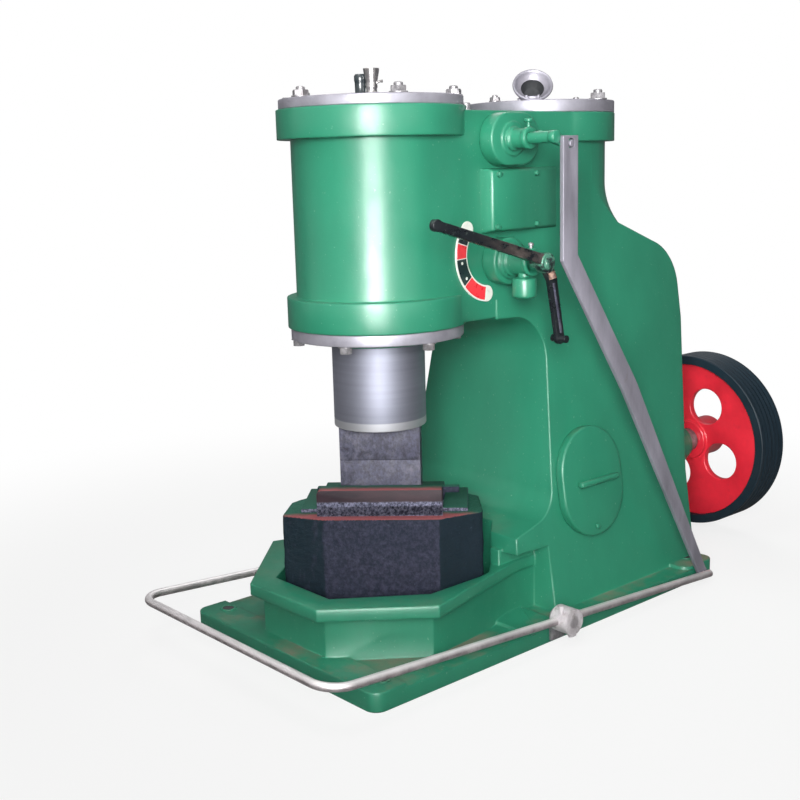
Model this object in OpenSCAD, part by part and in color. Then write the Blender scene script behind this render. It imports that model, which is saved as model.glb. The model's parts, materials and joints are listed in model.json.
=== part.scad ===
// Pneumatic forging hammer: one-piece frame with two cylinders, separate anvil,
// foot treadle and a rear belt wheel. Millimetres, +Z up, the ram's axis is X = Y = 0,
// the work side faces -Y and the valve levers are on the +X side.

/* [Base and anvil housing] */
// full width of the base plate
base_w = 640; // [560:5:720]
// front edge of the base plate
base_front = -307; // [-340:1:-280]
// rear edge of the base plate
base_rear = 824; // [780:1:900]
// height of the raised pads
base_t = 41; // [30:1:60]
// how far the plate lies below the pads
base_step = 8; // [2:1:14]
// corner radius of the base plate
base_r = 28; // [5:1:60]
// height of the housing's rim
rim_z = 157; // [120:1:200]
// depth of the rim's lip
lip_t = 27; // [10:1:45]
// how far the wall is set back under the lip
lip_over = 30; // [10:1:45]
// how far the housing's front stands behind the base plate's edge
rim_in = 14; // [5:1:30]
// half width of the housing's front face
rim_fw = 125; // [90:1:160]
// half width of the housing at its side corners
rim_sw = 286; // [260:1:310]
// Y of those side corners
rim_sy = -100; // [-140:1:-60]
// half width of the rim where it meets the shelf
rim_bw = 207; // [204:1:240]
// half width of the pocket
pocket_w = 222; // [205:1:230]
// front edge of the pocket
pocket_front = -234; // [-250:1:-220]
// half width of the pocket's front edge
pocket_fw = 94; // [70:1:120]
// rear edge of the pocket
pocket_back = 215; // [195:1:235]
// length of the pads beside the housing
pad_l = 104; // [80:1:130]
// length of the pads at the rear
pad_rear = 120; // [90:1:150]
// length of the raised strip at the front
pad_front = 82; // [60:1:100]

/* [Frame] */
// radius of the front cylinder's wall
cyl_r = 172; // [150:1:200]
// radius of the rear cylinder's wall
comp_r = 153; // [130:1:180]
// distance between the two cylinder axes
comp_y = 529; // [480:1:580]
// underside of the upper body
body_z = 705; // [650:1:760]
// top of the upper body between the cylinders
body_top = 1144; // [1100:1:1200]
// how far the column's foot stands inside the base plate's sides
col_in = 52; // [35:1:80]
// front face of the column, at the top of the throat
throat_y = 338; // [300:1:380]
// front face of the column's foot
foot_y = 275; // [250:1:300]
// underside of the shelf in front of the foot
foot_z = 186; // [170:1:200]
// half width of the neck under that shelf
neck_w = 203; // [180:1:225]
// rear face of the lower body at its foot
col_rear = 812; // [780:1:860]
// how far the rear face leans back above that
rear_lean = 45; // [10:1:60]
// height where the rear face begins to lean
lean_z0 = 260; // [150:1:300]
// height where the rear face stands upright again
lean_z1 = 640; // [560:1:680]
// how far the bearing's pad stands out of the rear face
bearing_pad = 33; // [26:1:45]
// front face of the neck
neck_y = 165; // [150:1:200]
// radius of the throat's arch
arch_r = 90; // [70:1:110]
// height of the arch's centre
arch_z = 610; // [580:1:640]
// how far the throat's lower bend lies below that centre
throat_h = 303; // [280:1:320]
// radius between the throat's face and the foot
foot_r = 75; // [50:1:95]
// height of the lower body's rear shoulder
shoulder_z = 724; // [700:1:760]
// radius of that shoulder
shoulder_r = 116; // [90:1:130]
// radius of the flare from the rear cylinder to the shoulder
flare_r = 165; // [120:1:180]
// height where that flare begins
flare_z = 986; // [960:1:990]

/* [Cylinders] */
// radius of the front upper flange
up_flange_r = 200; // [185:1:220]
// depth of the front upper flange
up_flange_h = 61; // [40:1:90]
// how far the front cylinder's top stands over the upper body
cyl_rise = 10; // [2:1:30]
// radius of the front lower flange
low_flange_r = 193; // [180:1:215]
// underside of the front lower flange
low_flange_z = 700; // [680:1:720]
// depth of the front lower flange
low_flange_h = 65; // [40:1:90]
// radius of the rear flange
comp_flange_r = 175; // [160:1:190]
// depth of the rear flange
comp_flange_h = 65; // [40:1:90]
// radius of the front cover
cover_r = 194; // [180:1:200]
// thickness of the front cover
cover_t = 21; // [15:1:30]
// radius of the rear cover
comp_cover_r = 174; // [160:1:190]
// thickness of the rear cover
comp_cover_t = 28; // [18:1:36]
// radius of the ring under the front cylinder
ring_r = 187; // [170:1:195]
// thickness of that ring
ring_t = 25; // [15:1:35]
// radius of the ram gland
gland_r = 118; // [110:1:150]
// thickness of the ram gland
gland_t = 13; // [8:1:25]

/* [Ram and dies] */
// radius of the ram
ram_r = 101.3; // [90:0.1:110]
// underside of the ram when the dies meet
ram_z = 479; // [440:1:520]
// length of the ram
ram_l = 450; // [380:1:480]
// stroke of the ram
ram_stroke = 200; // [120:5:220]
// length of the dies
die_l = 176; // [150:1:200]
// width of the dies
die_w = 90; // [70:1:110]
// top of the lower die
die_z = 405.6; // [390:0.1:420]
// daylight between the dies at rest
die_gap = 0.4; // [0.2:0.1:2]
// foot of the lower die
die_foot = 318; // [310:1:325]
// length of the sow block
sow_l = 272; // [240:1:300]
// half width of the sow block
sow_d = 98; // [90:1:110]
// thickness of the sow block's ears
sow_ear = 9; // [6:1:14]
// half length over the sow block's ears
ear_l = 190; // [170:1:200]
// height of the die key
key_t = 31; // [20:1:34]
// top of the sow block's front lip
sow_z = 352; // [335:1:365]
// thickness of the sow block's front lip
sow_lip = 37; // [25:1:45]
// top of the anvil
anvil_z = 294; // [280:1:305]
// distance from the ram's axis to the anvil's front corner
anvil_r = 216; // [200:1:220]

/* [Valve gear] */
// radius of the intake elbow's mouth
elbow_r = 43; // [40:1:52]
// height of the intake elbow's axis over the cover
elbow_h = 50; // [49:1:60]
// radius of the intake elbow's pipe
elbow_pipe = 32; // [26:1:34]
// radius of the air cock's foot
cock_r = 38; // [30:1:44]
// height of the air cock's body
cock_h = 44; // [35:1:55]
// height of the air cock's funnel
funnel_h = 54; // [40:1:60]
// radius of the funnel's mouth
funnel_r = 17; // [12:1:22]
// how far the upper valve's boss stands out of the cylinder
uv_out = 32; // [20:1:45]
// radius of the upper valve's boss
uv_r = 55; // [45:1:58]
// how much longer than high that boss is
uv_long = 38; // [20:1:50]
// radius of the upper valve's sleeve
uv_sleeve = 20; // [16:1:28]
// upper valve axis, along Y
uv_y = 214; // [200:1:230]
// upper valve axis, height
uv_z = 1084; // [1060:1:1100]
// lower valve axis, along Y
lv_y = 205; // [190:1:225]
// lower valve axis, height
lv_z = 829; // [800:1:860]
// radius of the valve shafts
shaft_r = 12; // [8:0.5:16]
// gap between the base plate's edge and the link bar
link_gap = 5; // [5:0.5:10]
// thickness of the link bar
link_t = 10; // [6:0.5:14]
// width of the link bar
link_w = 46; // [30:1:50]
// Y of the link bar's upright run
link_y = 247; // [235:1:260]
// Y of the link bar's bend
bend_y = 452; // [430:1:470]
// height of the link bar's bend
bend_z = 536; // [510:1:560]
// width of the link bar at its foot
link_foot = 27; // [20:1:34]
// radius of the lower valve's boss
lv_r = 50; // [42:1:58]
// radius of the lever hub
hub_r = 21; // [18:1:26]
// width of the lever hub
hub_w = 24; // [16:1:30]
// Y of the control lever's tip
tip_y = -106; // [-140:1:-90]
// height of the control lever's tip
tip_z = 922; // [900:1:950]
// thickness of the levers
lever_t = 12; // [8:1:14]
// Y of the hanging lever's cross pin
hang_y = 257; // [240:1:275]
// height of that pin
hang_z = 664; // [640:1:690]
// lower edge of the valve chest cover
chest_z0 = 890; // [870:1:910]
// upper edge of the valve chest cover
chest_z1 = 1024; // [1005:1:1025]
// front edge of the valve chest cover
chest_y0 = 154; // [130:1:170]
// rear edge of the valve chest cover
chest_y1 = 332; // [310:1:360]
// thickness of the valve chest cover
chest_t = 31; // [14:1:38]
// radius of the lower valve's sleeve
sleeve_r = 27; // [22:1:32]
// section of the oil pot for each length of sleeve
pot_k = 6.9; // [5:0.1:7.4]
// height of the oil pot
pot_h = 60; // [45:1:75]
// share of the valve's length that its boss takes
boss_share = 0.33; // [0.2:0.01:0.36]
// Y of the quadrant plate's centre
quad_y = 174; // [165:1:183]
// height of the quadrant plate's centre
quad_z = 845; // [838:1:852]
// inner radius of the quadrant plate
quad_r0 = 67; // [60:1:74]
// outer radius of the quadrant plate
quad_r1 = 102; // [92:1:110]

/* [Side cover] */
// Y of the side cover's centre
side_y = 428; // [400:1:450]
// height of the side cover's centre
side_z = 305; // [290:1:330]
// radius of the side cover's ends
side_r = 104; // [90:1:115]
// half the straight run between those ends
side_s = 24; // [10:1:40]
// thickness of the side cover
side_t = 22; // [8:1:26]
// length of the side cover's handle
handle_l = 130; // [100:1:150]

/* [Treadle] */
// how far the treadle's sides stand out of the base plate
treadle_gap = 25; // [20:1:40]
// radius of the treadle bar
treadle_r = 9; // [7:0.5:12]
// Y of the treadle's pivot
tp_y = 215; // [190:1:240]
// height of the treadle's pivot
tp_z = 56; // [50:1:70]
// Y of the treadle's front run
tr_front = -433; // [-470:1:-400]
// Y of the pin at the treadle's rear end
tr_rear = 755; // [720:1:780]
// slope of the treadle at rest, rise for each millimetre forward
tr_slope = 0.0667; // [0.03:0.0001:0.1]
// radius of the clamps on the treadle's sides
clamp_r = 29; // [24:1:34]
// length of the clamps' nipples
nipple_l = 18; // [10:1:24]
// radius of the treadle pivots' plates
pivot_r = 22; // [16:1:28]
// bend radius of the treadle's front corners
tr_bend = 55; // [30:1:80]

/* [Belt wheel] */
// X of the wheel's axis
wheel_x = 50; // [0:1:80]
// height of the wheel's axis
wheel_z = 258; // [250:1:300]
// front edge of the wheel's rim
wheel_y = 1084; // [1000:1:1160]
// outer radius of the rim
wheel_r = 238; // [200:1:250]
// inner radius of the rim
web_r = 215; // [190:1:225]
// width of the rim
wheel_w = 104; // [80:1:120]
// radius of the crankshaft's end
crank_r = 32; // [25:0.5:45]
// radius of the web's round holes
web_hole = 50; // [35:1:55]
// distance of those holes from the axis
web_ring = 110; // [104:1:130]
// radius of the web's hub
web_hub = 54; // [50:1:56]
// thickness of the web
web_t = 20; // [12:1:30]
// radius of the rear bearing's flange
bearing_r = 128; // [110:1:140]

/* [Hidden] */
$fn = 64;
run_fit = 0.08;
seat = 0.03;
e = 0.01;
s2 = sqrt(2);
col_foot = base_w / 2 - col_in;
cyl_top = body_top + cyl_rise;
up_flange_z = cyl_top - up_flange_h;
col_slope = (col_foot - cyl_r) / (body_z - base_t);
function half_w(z) = cyl_r + (body_z - z) * col_slope;
comp_half = comp_r * 0.9994;
taper_z = body_z + (cyl_r - comp_half) / col_slope;
bearing_y = col_rear + bearing_pad;
function tr_z(y) = tp_z - (y - tp_y) * tr_slope;
lip_z = rim_z - lip_t;
uv_x = cyl_r + uv_out;
link_x = base_w / 2 + link_gap;
shaft_end = link_x - 5;
uv_end = link_x - 69;
hub_x = link_x - 37;
sleeve_end = link_x - 55;
pot_r = sqrt(pot_k * (sleeve_end - cyl_r));
pot_x = sleeve_end - pot_r - 1;
boss_x = cyl_r + boss_share * (sleeve_end - cyl_r);
treadle_x = base_w / 2 + treadle_gap;
clamp_end = treadle_x + clamp_r;
throat_top = body_z - 5;
green = [0.16, 0.55, 0.38];
silver = [0.72, 0.72, 0.76];
dark = [0.13, 0.14, 0.17];
steel = [0.55, 0.56, 0.6];
rust = [0.42, 0.27, 0.28];
red = [0.80, 0.13, 0.18];

// a plate outline with round corners
module round_rect(x0, x1, y0, y1, r) {
  union() {
    translate([x0 + r, y0]) square([x1 - x0 - 2 * r, y1 - y0]);
    translate([x0, y0 + r]) square([x1 - x0, y1 - y0 - 2 * r]);
    for (x = [x0 + r, x1 - r], y = [y0 + r, y1 - r]) translate([x, y]) circle(r);
  }
}
// turns an outline drawn in (y, z) into a slab from x0 to x1
module slab_yz(x0, x1) {
  translate([x0, 0, 0]) rotate([90, 0, 90]) linear_extrude(x1 - x0) children();
}
// turns an outline drawn in (x, z) into a slab from y0 to y1
module slab_xz(y0, y1) {
  translate([0, y1, 0]) rotate([90, 0, 0]) linear_extrude(y1 - y0) children();
}
// a rod along X
module rod_x(x0, x1, y, z, r, f = 64) {
  translate([x0, y, z]) rotate([0, 90, 0]) cylinder(h = x1 - x0, r = r, $fn = f);
}
// a rod along Y
module rod_y(y0, y1, x, z, r, f = 96) {
  translate([x, y1, z]) rotate([90, 0, 0]) cylinder(h = y1 - y0, r = r, $fn = f);
}
// the flat wall of the upper body between the two cylinders
wall_a = atan((cyl_r - comp_r) * 0.9994 / (comp_y + (comp_r - cyl_r) * 0.035));
function wall_x(y) = cyl_r * 0.9994 - (y - cyl_r * 0.035) * tan(wall_a);
module wall_block() {
  translate([0, 0, body_z - 10]) linear_extrude(body_top - body_z + 20) wall_outline_flat();
}
module wall_outline_flat() {
  polygon([[-cyl_r * 0.9994, cyl_r * 0.035], [cyl_r * 0.9994, cyl_r * 0.035],
    [comp_r * 0.9994, comp_y + comp_r * 0.035], [-comp_r * 0.9994, comp_y + comp_r * 0.035]]);
}
// children stand on that wall: X is its outward normal, drawn from y, z = 0
module on_wall(y) { translate([wall_x(y), y, 0]) rotate([0, 0, wall_a]) translate([0, -y, 0]) children(); }
// children in the dies' own axes: first axis towards the front right corner
module at_dies() { rotate([0, 0, -45]) children(); }

rim_front = base_front + rim_in;
module rim_outline() {
  polygon([[-rim_fw + 21, rim_front - 3], [rim_fw, rim_front], [rim_sw, rim_sy], [rim_bw, pocket_back], [rim_bw, foot_y + 5],
    [-rim_bw, foot_y + 5], [-rim_bw, pocket_back], [-rim_sw - 24, rim_sy + 12]]);
}
module wall_outline() {
  polygon([[-rim_fw + 22, rim_front + lip_over], [rim_fw - 13, rim_front + lip_over], [rim_sw - lip_over * 1.1, rim_sy + 12],
    [pocket_w + 9, rim_sy + 200], [neck_w, pocket_back - 25], [neck_w, foot_y + 5],
    [-neck_w, foot_y + 5], [-neck_w, pocket_back - 25], [-pocket_w - 9, rim_sy + 200], [-rim_sw + lip_over * 1.1, rim_sy + 12]]);
}
pocket_y0 = rim_sy + 34;
pocket_y1 = rim_sy + 180;
module pocket_outline() {
  polygon([[-pocket_fw, pocket_front], [pocket_fw, pocket_front], [pocket_w, pocket_y0], [pocket_w, pocket_y1], [pocket_w - 7, pocket_y1 + 35],
    [pocket_w - 92, pocket_back], [92 - pocket_w, pocket_back], [7 - pocket_w, pocket_y1 + 35], [-pocket_w, pocket_y1], [-pocket_w, pocket_y0]]);
}
module body_outline() {
  union() {
    circle(cyl_r, $fn = 128);
    translate([0, comp_y]) circle(comp_r, $fn = 128);
    wall_outline_flat();
  }
}
// side view of the open throat, in (y, z): the face leans back and runs into the foot and the arch
module throat_air() {
  fy = throat_y - 30.5;
  fz = arch_z - throat_h;
  polygon([[neck_y - 65, fz - 103], [fy - 56.4, fz - 65], [fy, fz], [throat_y, arch_z - 10], [throat_y, arch_z],
    [throat_y - arch_r, throat_top], [neck_y - 65, throat_top]]);
  translate([fy - foot_r + 0.4, fz + foot_r * 0.104]) circle(foot_r, $fn = 96);
  translate([throat_y - arch_r, arch_z]) circle(arch_r, $fn = 96);
}
comp_back = comp_y + comp_r;
shoulder_y = col_rear + rear_lean - shoulder_r;
shoulder_a = 20.8; // slope of the shoulder's top
flare_low = shoulder_z + shoulder_r * cos(shoulder_a) + 2;
// side view of the column, in (y, z)
module column_side() {
  difference() {
    union() {
      polygon([[foot_y, 0], [col_rear, 0], [col_rear, lean_z0], [col_rear + rear_lean, lean_z1], [col_rear + rear_lean, shoulder_z],
        [shoulder_y + shoulder_r * sin(shoulder_a), shoulder_z + shoulder_r * cos(shoulder_a)],
        [comp_y, shoulder_z + shoulder_r * cos(shoulder_a) + (shoulder_y + shoulder_r * sin(shoulder_a) - comp_y) * tan(shoulder_a)],
        [comp_y, body_z + 40], [neck_y + 35, body_z + 40], [neck_y + 35, body_z - 6], [neck_y, body_z - 205], [neck_y, foot_z], [foot_y, foot_z]]);
      translate([shoulder_y, shoulder_z]) circle(shoulder_r, $fn = 128);
    }
    throat_air();
    polygon([[0, lip_z], [neck_y + 0.5, lip_z], [neck_y + 11, foot_z + 38], [neck_y + 11, body_z + 15], [0, body_z + 15]]);
  }
}
module column() {
  intersection() {
    slab_yz(-base_w, base_w) column_side();
    slab_xz(0, col_rear + rear_lean + 20) polygon([[-half_w(0), 0], [half_w(0), 0], [comp_half, taper_z],
      [comp_half, body_top], [-comp_half, body_top], [-comp_half, taper_z]]);
  }
}

// hollow flare around the rear half of the rear cylinder
module flare() {
  intersection() {
    translate([0, comp_y, 0]) rotate_extrude($fn = 96) difference() {
      translate([0, flare_low]) square([comp_r + flare_r - sqrt(flare_r * flare_r - (flare_z - flare_low) * (flare_z - flare_low)), flare_z - flare_low]);
      translate([comp_r + flare_r, flare_z]) circle(flare_r, $fn = 128);
    }
    translate([-comp_half, comp_y, flare_low - 5]) cube([2 * comp_half, comp_r + flare_r, flare_z - flare_low + 10]);
  }
}

module frame_casting() {
  color(green) difference() {
    union() {
      linear_extrude(base_t - base_step) round_rect(-base_w / 2, base_w / 2, base_front, base_rear, base_r);
      // raised pads
      linear_extrude(base_t) {
        intersection() {
          round_rect(-base_w / 2, base_w / 2, base_front, base_rear, base_r);
          translate([-base_w, base_front]) square([base_w * 2, pad_front]);
        }
        for (s = [-1, 1]) {
          scale([s, 1]) round_rect(base_w / 2 - 140, base_w / 2, tp_y + 17 - pad_l, tp_y + 17, 24);
          scale([s, 1]) round_rect(base_w / 2 - 140, base_w / 2, base_rear - pad_rear, base_rear, base_r);
        }
      }
      linear_extrude(lip_z + 1) wall_outline();
      translate([0, 0, lip_z]) linear_extrude(lip_t) rim_outline();
      column();
      flare();
      // pad under the rear bearing
      rod_y(col_rear - 30, bearing_y, wheel_x, wheel_z, bearing_r + 6);
      // upper body around both cylinders
      translate([0, 0, body_z]) linear_extrude(body_top - body_z) body_outline();
      translate([0, 0, low_flange_z]) cylinder(h = cyl_top - low_flange_z, r = cyl_r, $fn = 128);
      translate([0, 0, up_flange_z]) cylinder(h = cyl_top - up_flange_z, r = up_flange_r, $fn = 128);
      translate([0, 0, low_flange_z]) cylinder(h = low_flange_h, r = low_flange_r, $fn = 128);
      translate([0, comp_y, body_top - comp_flange_h]) cylinder(h = comp_flange_h, r = comp_flange_r, $fn = 128);
      // neck between the housing and the column's foot
      translate([-neck_w, neck_y - 5, 0]) cube([2 * neck_w, foot_y - neck_y + 15, foot_z + 6]);
    }
    // bore of the working cylinder
    translate([0, 0, low_flange_z - 1]) cylinder(h = cyl_top - low_flange_z + 2, r = ram_r + run_fit, $fn = 128);
    // pocket of the anvil
    translate([0, 0, base_t]) linear_extrude(body_z - base_t - 160) pocket_outline();
  }
}

module cylinder_cover() {
  color(silver) translate([0, 0, cyl_top]) cylinder(h = cover_t, r = cover_r, $fn = 128);
}
module compressor_cover() {
  color(silver) translate([0, comp_y, body_top]) cylinder(h = comp_cover_t, r = comp_cover_r, $fn = 128);
}
module lower_ring() {
  color(silver) translate([0, 0, low_flange_z - ring_t]) difference() {
    cylinder(h = ring_t, r = ring_r, $fn = 128);
    translate([0, 0, -1]) cylinder(h = ring_t + 2, r = ram_r + 0.6, $fn = 128);
  }
}
module ram_gland() {
  color(green) translate([0, 0, low_flange_z - ring_t - gland_t]) difference() {
    cylinder(h = gland_t, r = gland_r, $fn = 128);
    translate([0, 0, -1]) cylinder(h = gland_t + 2, r = ram_r + run_fit, $fn = 128);
  }
}
module ram() {
  color(steel) translate([0, 0, ram_z]) cylinder(h = ram_l, r = ram_r, $fn = 128);
}
module upper_die() {
  color(steel) at_dies() translate([-die_w / 2, -die_l / 2, die_z + die_gap])
    cube([die_w, die_l, ram_z - die_z - die_gap]);
}
module lower_die() {
  color(steel) at_dies() translate([-die_w / 2, -die_l / 2, die_foot]) cube([die_w, die_l, die_z - die_foot]);
}
module sow_block() {
  color(rust) at_dies() union() {
    translate([-sow_d, -sow_l / 2, anvil_z]) cube([2 * sow_d, sow_l, die_foot - anvil_z]);
    translate([sow_d - sow_lip, -sow_l / 2, anvil_z]) cube([sow_lip, sow_l, sow_z - anvil_z]);
    translate([-sow_d, 15 - ear_l, anvil_z]) cube([2 * sow_d - 30, 2 * ear_l - 15, sow_ear]);
  }
}
module die_key() {
  color(steel) at_dies() translate([die_w / 2, -sow_l / 2 - 2, die_foot]) cube([sow_d - sow_lip - die_w / 2, sow_l + 38, key_t]);
}
module anvil() {
  color(dark) translate([0, 0, base_t]) linear_extrude(anvil_z - base_t)
    polygon(anvil_r * [[-0.4074, -1], [0.0093, -0.7963], [0.8241, 0.0278], [0.9583, 0.5093], [0.5093, 0.8981],
      [-0.0278, 0.8241], [-0.8241, 0.0278], [-0.7407, -0.6296]]);
}
module intake_elbow() {
  color(silver) translate([-13, comp_y - 13, body_top + comp_cover_t]) union() {
    cylinder(h = 5, r = elbow_pipe + 4);
    difference() {
      union() {
        cylinder(h = elbow_h - 10, r = elbow_pipe - 13);
        translate([0, 0, elbow_h]) rotate([0, 0, 47]) rotate([90, 0, 0]) {
          translate([0, 0, -16]) cylinder(h = 40, r = elbow_pipe);
          translate([0, 0, 24]) cylinder(h = 14, r1 = elbow_pipe, r2 = elbow_r);
          translate([0, 0, 38]) cylinder(h = 7, r = elbow_r);
        }
      }
      translate([0, 0, elbow_h]) rotate([0, 0, 47]) rotate([90, 0, 0]) {
        translate([0, 0, -8]) cylinder(h = 33, r = elbow_pipe - 10);
        translate([0, 0, 24]) cylinder(h = 22, r1 = elbow_pipe - 10, r2 = elbow_r - 9);
      }
    }
  }
}
module air_cock_body() {
  color(green) translate([-15, -15, cyl_top + cover_t]) union() {
    translate([8, 6, 0]) cylinder(h = 6, r = cock_r);
    cylinder(h = cock_h, r = 12);
  }
}
module air_cock_funnel() {
  color(silver) translate([4, 0, cyl_top + cover_t + 6]) union() {
    cylinder(h = funnel_h - 20, r = 8);
    translate([0, 0, funnel_h - 20]) cylinder(h = 20, r1 = 8, r2 = funnel_r);
  }
}
module upper_valve_boss() {
  color(green) difference() {
    union() {
      slab_yz(cyl_r - 16, uv_x) union() {
        translate([uv_y - 8, uv_z]) circle(uv_r, $fn = 96);
        translate([uv_y - 8 + uv_long, uv_z]) circle(uv_r, $fn = 96);
        translate([uv_y - 8, uv_z - uv_r]) square([uv_long, 2 * uv_r]);
      }
      rod_x(uv_x, uv_end, uv_y, uv_z, uv_sleeve);
    }
    wall_block();
    rod_x(cyl_r, uv_end + 1, uv_y, uv_z, shaft_r + run_fit);
  }
}
module upper_valve_shaft() {
  color(steel) rod_x(cyl_r, shaft_end, uv_y, uv_z, shaft_r);
}
module upper_valve_crank() {
  color(steel) union() {
    difference() {
      slab_yz(shaft_end - 16, shaft_end) union() {
        translate([uv_y, uv_z]) circle(22);
        translate([link_y, uv_z - 14]) circle(15);
        polygon([[uv_y - 6, uv_z - 20], [uv_y + 8, uv_z + 20], [link_y + 6, uv_z - 1], [link_y - 5, uv_z - 27]]);
      }
      rod_x(link_x - 30, link_x, uv_y, uv_z, shaft_r);
    }
    rod_x(link_x - 5, link_x + link_t + 5, link_y, uv_z - 14, 7);
    rod_x(link_x + link_t + 3, link_x + link_t + 9, link_y, uv_z - 14, 15, 6);
  }
}
module valve_chest_cover() {
  color(green) on_wall((chest_y0 + chest_y1) / 2) slab_yz(0, chest_t) round_rect(chest_y0, chest_y1, chest_z0, chest_z1, 14);
}
module lower_valve_boss() {
  color(green) difference() {
    union() {
      rod_x(cyl_r - 16, boss_x, lv_y, lv_z, lv_r, 96);
      rod_x(boss_x, sleeve_end, lv_y, lv_z, sleeve_r, 96);
    }
    wall_block();
    rod_x(cyl_r, sleeve_end + 1, lv_y, lv_z, shaft_r + run_fit);
  }
}
module control_shaft() {
  color(steel) rod_x(cyl_r, hub_x + hub_w + 4, lv_y, lv_z, shaft_r);
}
module lever_hub() {
  color(dark) difference() {
    rod_x(hub_x, hub_x + hub_w, lv_y, lv_z, hub_r);
    rod_x(hub_x - 8, hub_x + hub_w + 8, lv_y, lv_z, shaft_r);
  }
}
module control_lever() {
  color(dark) difference() {
    slab_yz(hub_x + 10, hub_x + 10 + lever_t) union() {
      translate([tip_y, tip_z]) circle(12);
      polygon([[lv_y - 7, lv_z - 5], [lv_y, lv_z + 16], [tip_y + 2.6, tip_z + 9.5], [tip_y - 2.6, tip_z - 9.5]]);
    }
    rod_x(hub_x - 8, hub_x + hub_w + 8, lv_y, lv_z, hub_r);
  }
}
module hanging_lever() {
  color(dark) union() {
    difference() {
      slab_yz(hub_x + 2, hub_x + lever_t) union() {
        polygon([[lv_y, lv_z - 18], [lv_y + 19, lv_z + 4], [lv_y + 38, lv_z - 30], [hang_y + 11, hang_z + 4], [hang_y - 11, hang_z], [lv_y + 15, lv_z - 40]]);
        translate([hang_y, hang_z]) circle(12);
      }
      rod_x(hub_x - 8, hub_x + hub_w + 8, lv_y, lv_z, hub_r);
    }
    rod_x(hub_x - 12, hub_x + 2, hang_y, hang_z, 8);
    rod_x(hub_x + lever_t, hub_x + hub_w + 4, hang_y, hang_z, 8);
  }
}
module quadrant_plate() {
  color(silver) difference() {
    on_wall(quad_y) slab_yz(0, 4) translate([quad_y, quad_z]) union() {
      difference() {
        circle(quad_r1, $fn = 96);
        circle(quad_r0, $fn = 96);
        polygon([[0, 0], [-2.3 * quad_r1, 1.93 * quad_r1], [3 * quad_r1, 3 * quad_r1], [3 * quad_r1, -3 * quad_r1], [-0.21 * quad_r1, -3 * quad_r1]]);
      }
      for (a = [140, 266]) rotate(a) translate([(quad_r0 + quad_r1) / 2, 0]) circle((quad_r1 - quad_r0) / 2 - 0.2);
    }
    translate([0, 0, low_flange_z]) cylinder(h = low_flange_h + 0.5, r = low_flange_r + 0.5, $fn = 128);
  }
}
module oil_pot() {
  color(green) difference() {
    union() {
      translate([pot_x, lv_y, lv_z - pot_h - 17]) cylinder(h = pot_h, r = pot_r);
      translate([pot_x, lv_y, lv_z - pot_h - 23]) cylinder(h = 7, r = pot_r - 9);
    }
    rod_x(cyl_r, link_x, lv_y, lv_z, sleeve_r);
  }
}
module link_bar() {
  color(steel) difference() {
    slab_yz(link_x, link_x + link_t) union() {
      polygon([[link_y - link_w / 2, uv_z + 2], [link_y - link_w / 2, lv_z + 3], [bend_y - link_w / 2, bend_z - 6], [tr_rear - link_foot / 2, tr_z(tr_rear) - 4],
        [tr_rear + link_foot / 2, tr_z(tr_rear) + 4], [bend_y + link_w / 2 + 1, bend_z + 6], [link_y + link_w / 2, lv_z + 14], [link_y + link_w / 2, uv_z + 2]]);
      translate([tr_rear, tr_z(tr_rear)]) circle(link_foot / 2 + 1.5);
    }
    rod_x(link_x - 1, link_x + link_t + 1, link_y + 1.4, uv_z - 14, 10.4);
    rod_x(link_x - 1, link_x + link_t + 1, tr_rear + 0.55, tr_z(tr_rear) - 1.8, 7.6);
  }
}
module in_treadle_plane() {
  translate([0, tr_front + tr_bend, tr_z(tr_front + tr_bend)]) rotate([-atan(tr_slope), 0, 0]) children();
}
module treadle_side(s) {
  in_treadle_plane() translate([s * treadle_x, 0, 0]) rotate([-90, 0, 0])
    cylinder(h = (tr_rear - tr_front - tr_bend) * sqrt(1 + tr_slope * tr_slope) + 12, r = treadle_r, $fn = 32);
}
module treadle() {
  color(steel) union() {
    treadle_side(1);
    treadle_side(-1);
    in_treadle_plane() {
      translate([treadle_x - tr_bend, 0, 0]) rotate([0, 0, -90]) rotate_extrude(angle = 90, $fn = 64) translate([tr_bend, 0]) circle(treadle_r, $fn = 32);
      translate([-(treadle_x - tr_bend), 0, 0]) rotate([0, 0, 180]) rotate_extrude(angle = 90, $fn = 64) translate([tr_bend, 0]) circle(treadle_r, $fn = 32);
      translate([-(treadle_x - tr_bend), -tr_bend, 0]) rotate([0, 90, 0]) cylinder(h = 2 * (treadle_x - tr_bend), r = treadle_r, $fn = 32);
    }
    // pin through the foot of the link bar
    rod_x(link_x - 2, treadle_x - 3, tr_rear, tr_z(tr_rear), 5.5, 32);
  }
}
module treadle_pivot(s) {
  color(silver) union() {
    mirror([s < 0 ? 1 : 0, 0, 0]) union() {
      slab_yz(base_w / 2, base_w / 2 + 8) union() {
        translate([tp_y, tp_z]) circle(pivot_r);
        translate([tp_y - pivot_r, 6]) square([2 * pivot_r, tp_z - 6]);
      }
      rod_x(base_w / 2 + 7, base_w / 2 + 15.5, tp_y, tp_z, 7);
    }
  }
}
module treadle_pivot_right() { treadle_pivot(1); }
module treadle_pivot_left() { treadle_pivot(-1); }
module treadle_clamps() {
  color(silver) for (s = [-1, 1]) difference() {
    mirror([s < 0 ? 1 : 0, 0, 0]) difference() {
      union() {
        rod_x(base_w / 2 + 9, clamp_end, tp_y, tp_z, clamp_r);
        translate([clamp_end - 18, tp_y - 22, tp_z + clamp_r - 9]) cylinder(h = nipple_l, r = 5);
      }
      rod_x(base_w / 2 + 8, base_w / 2 + 15.7, tp_y, tp_z, 7 + run_fit);
    }
    treadle_side(s);
  }
}
handle_y = side_y - 60;
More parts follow.
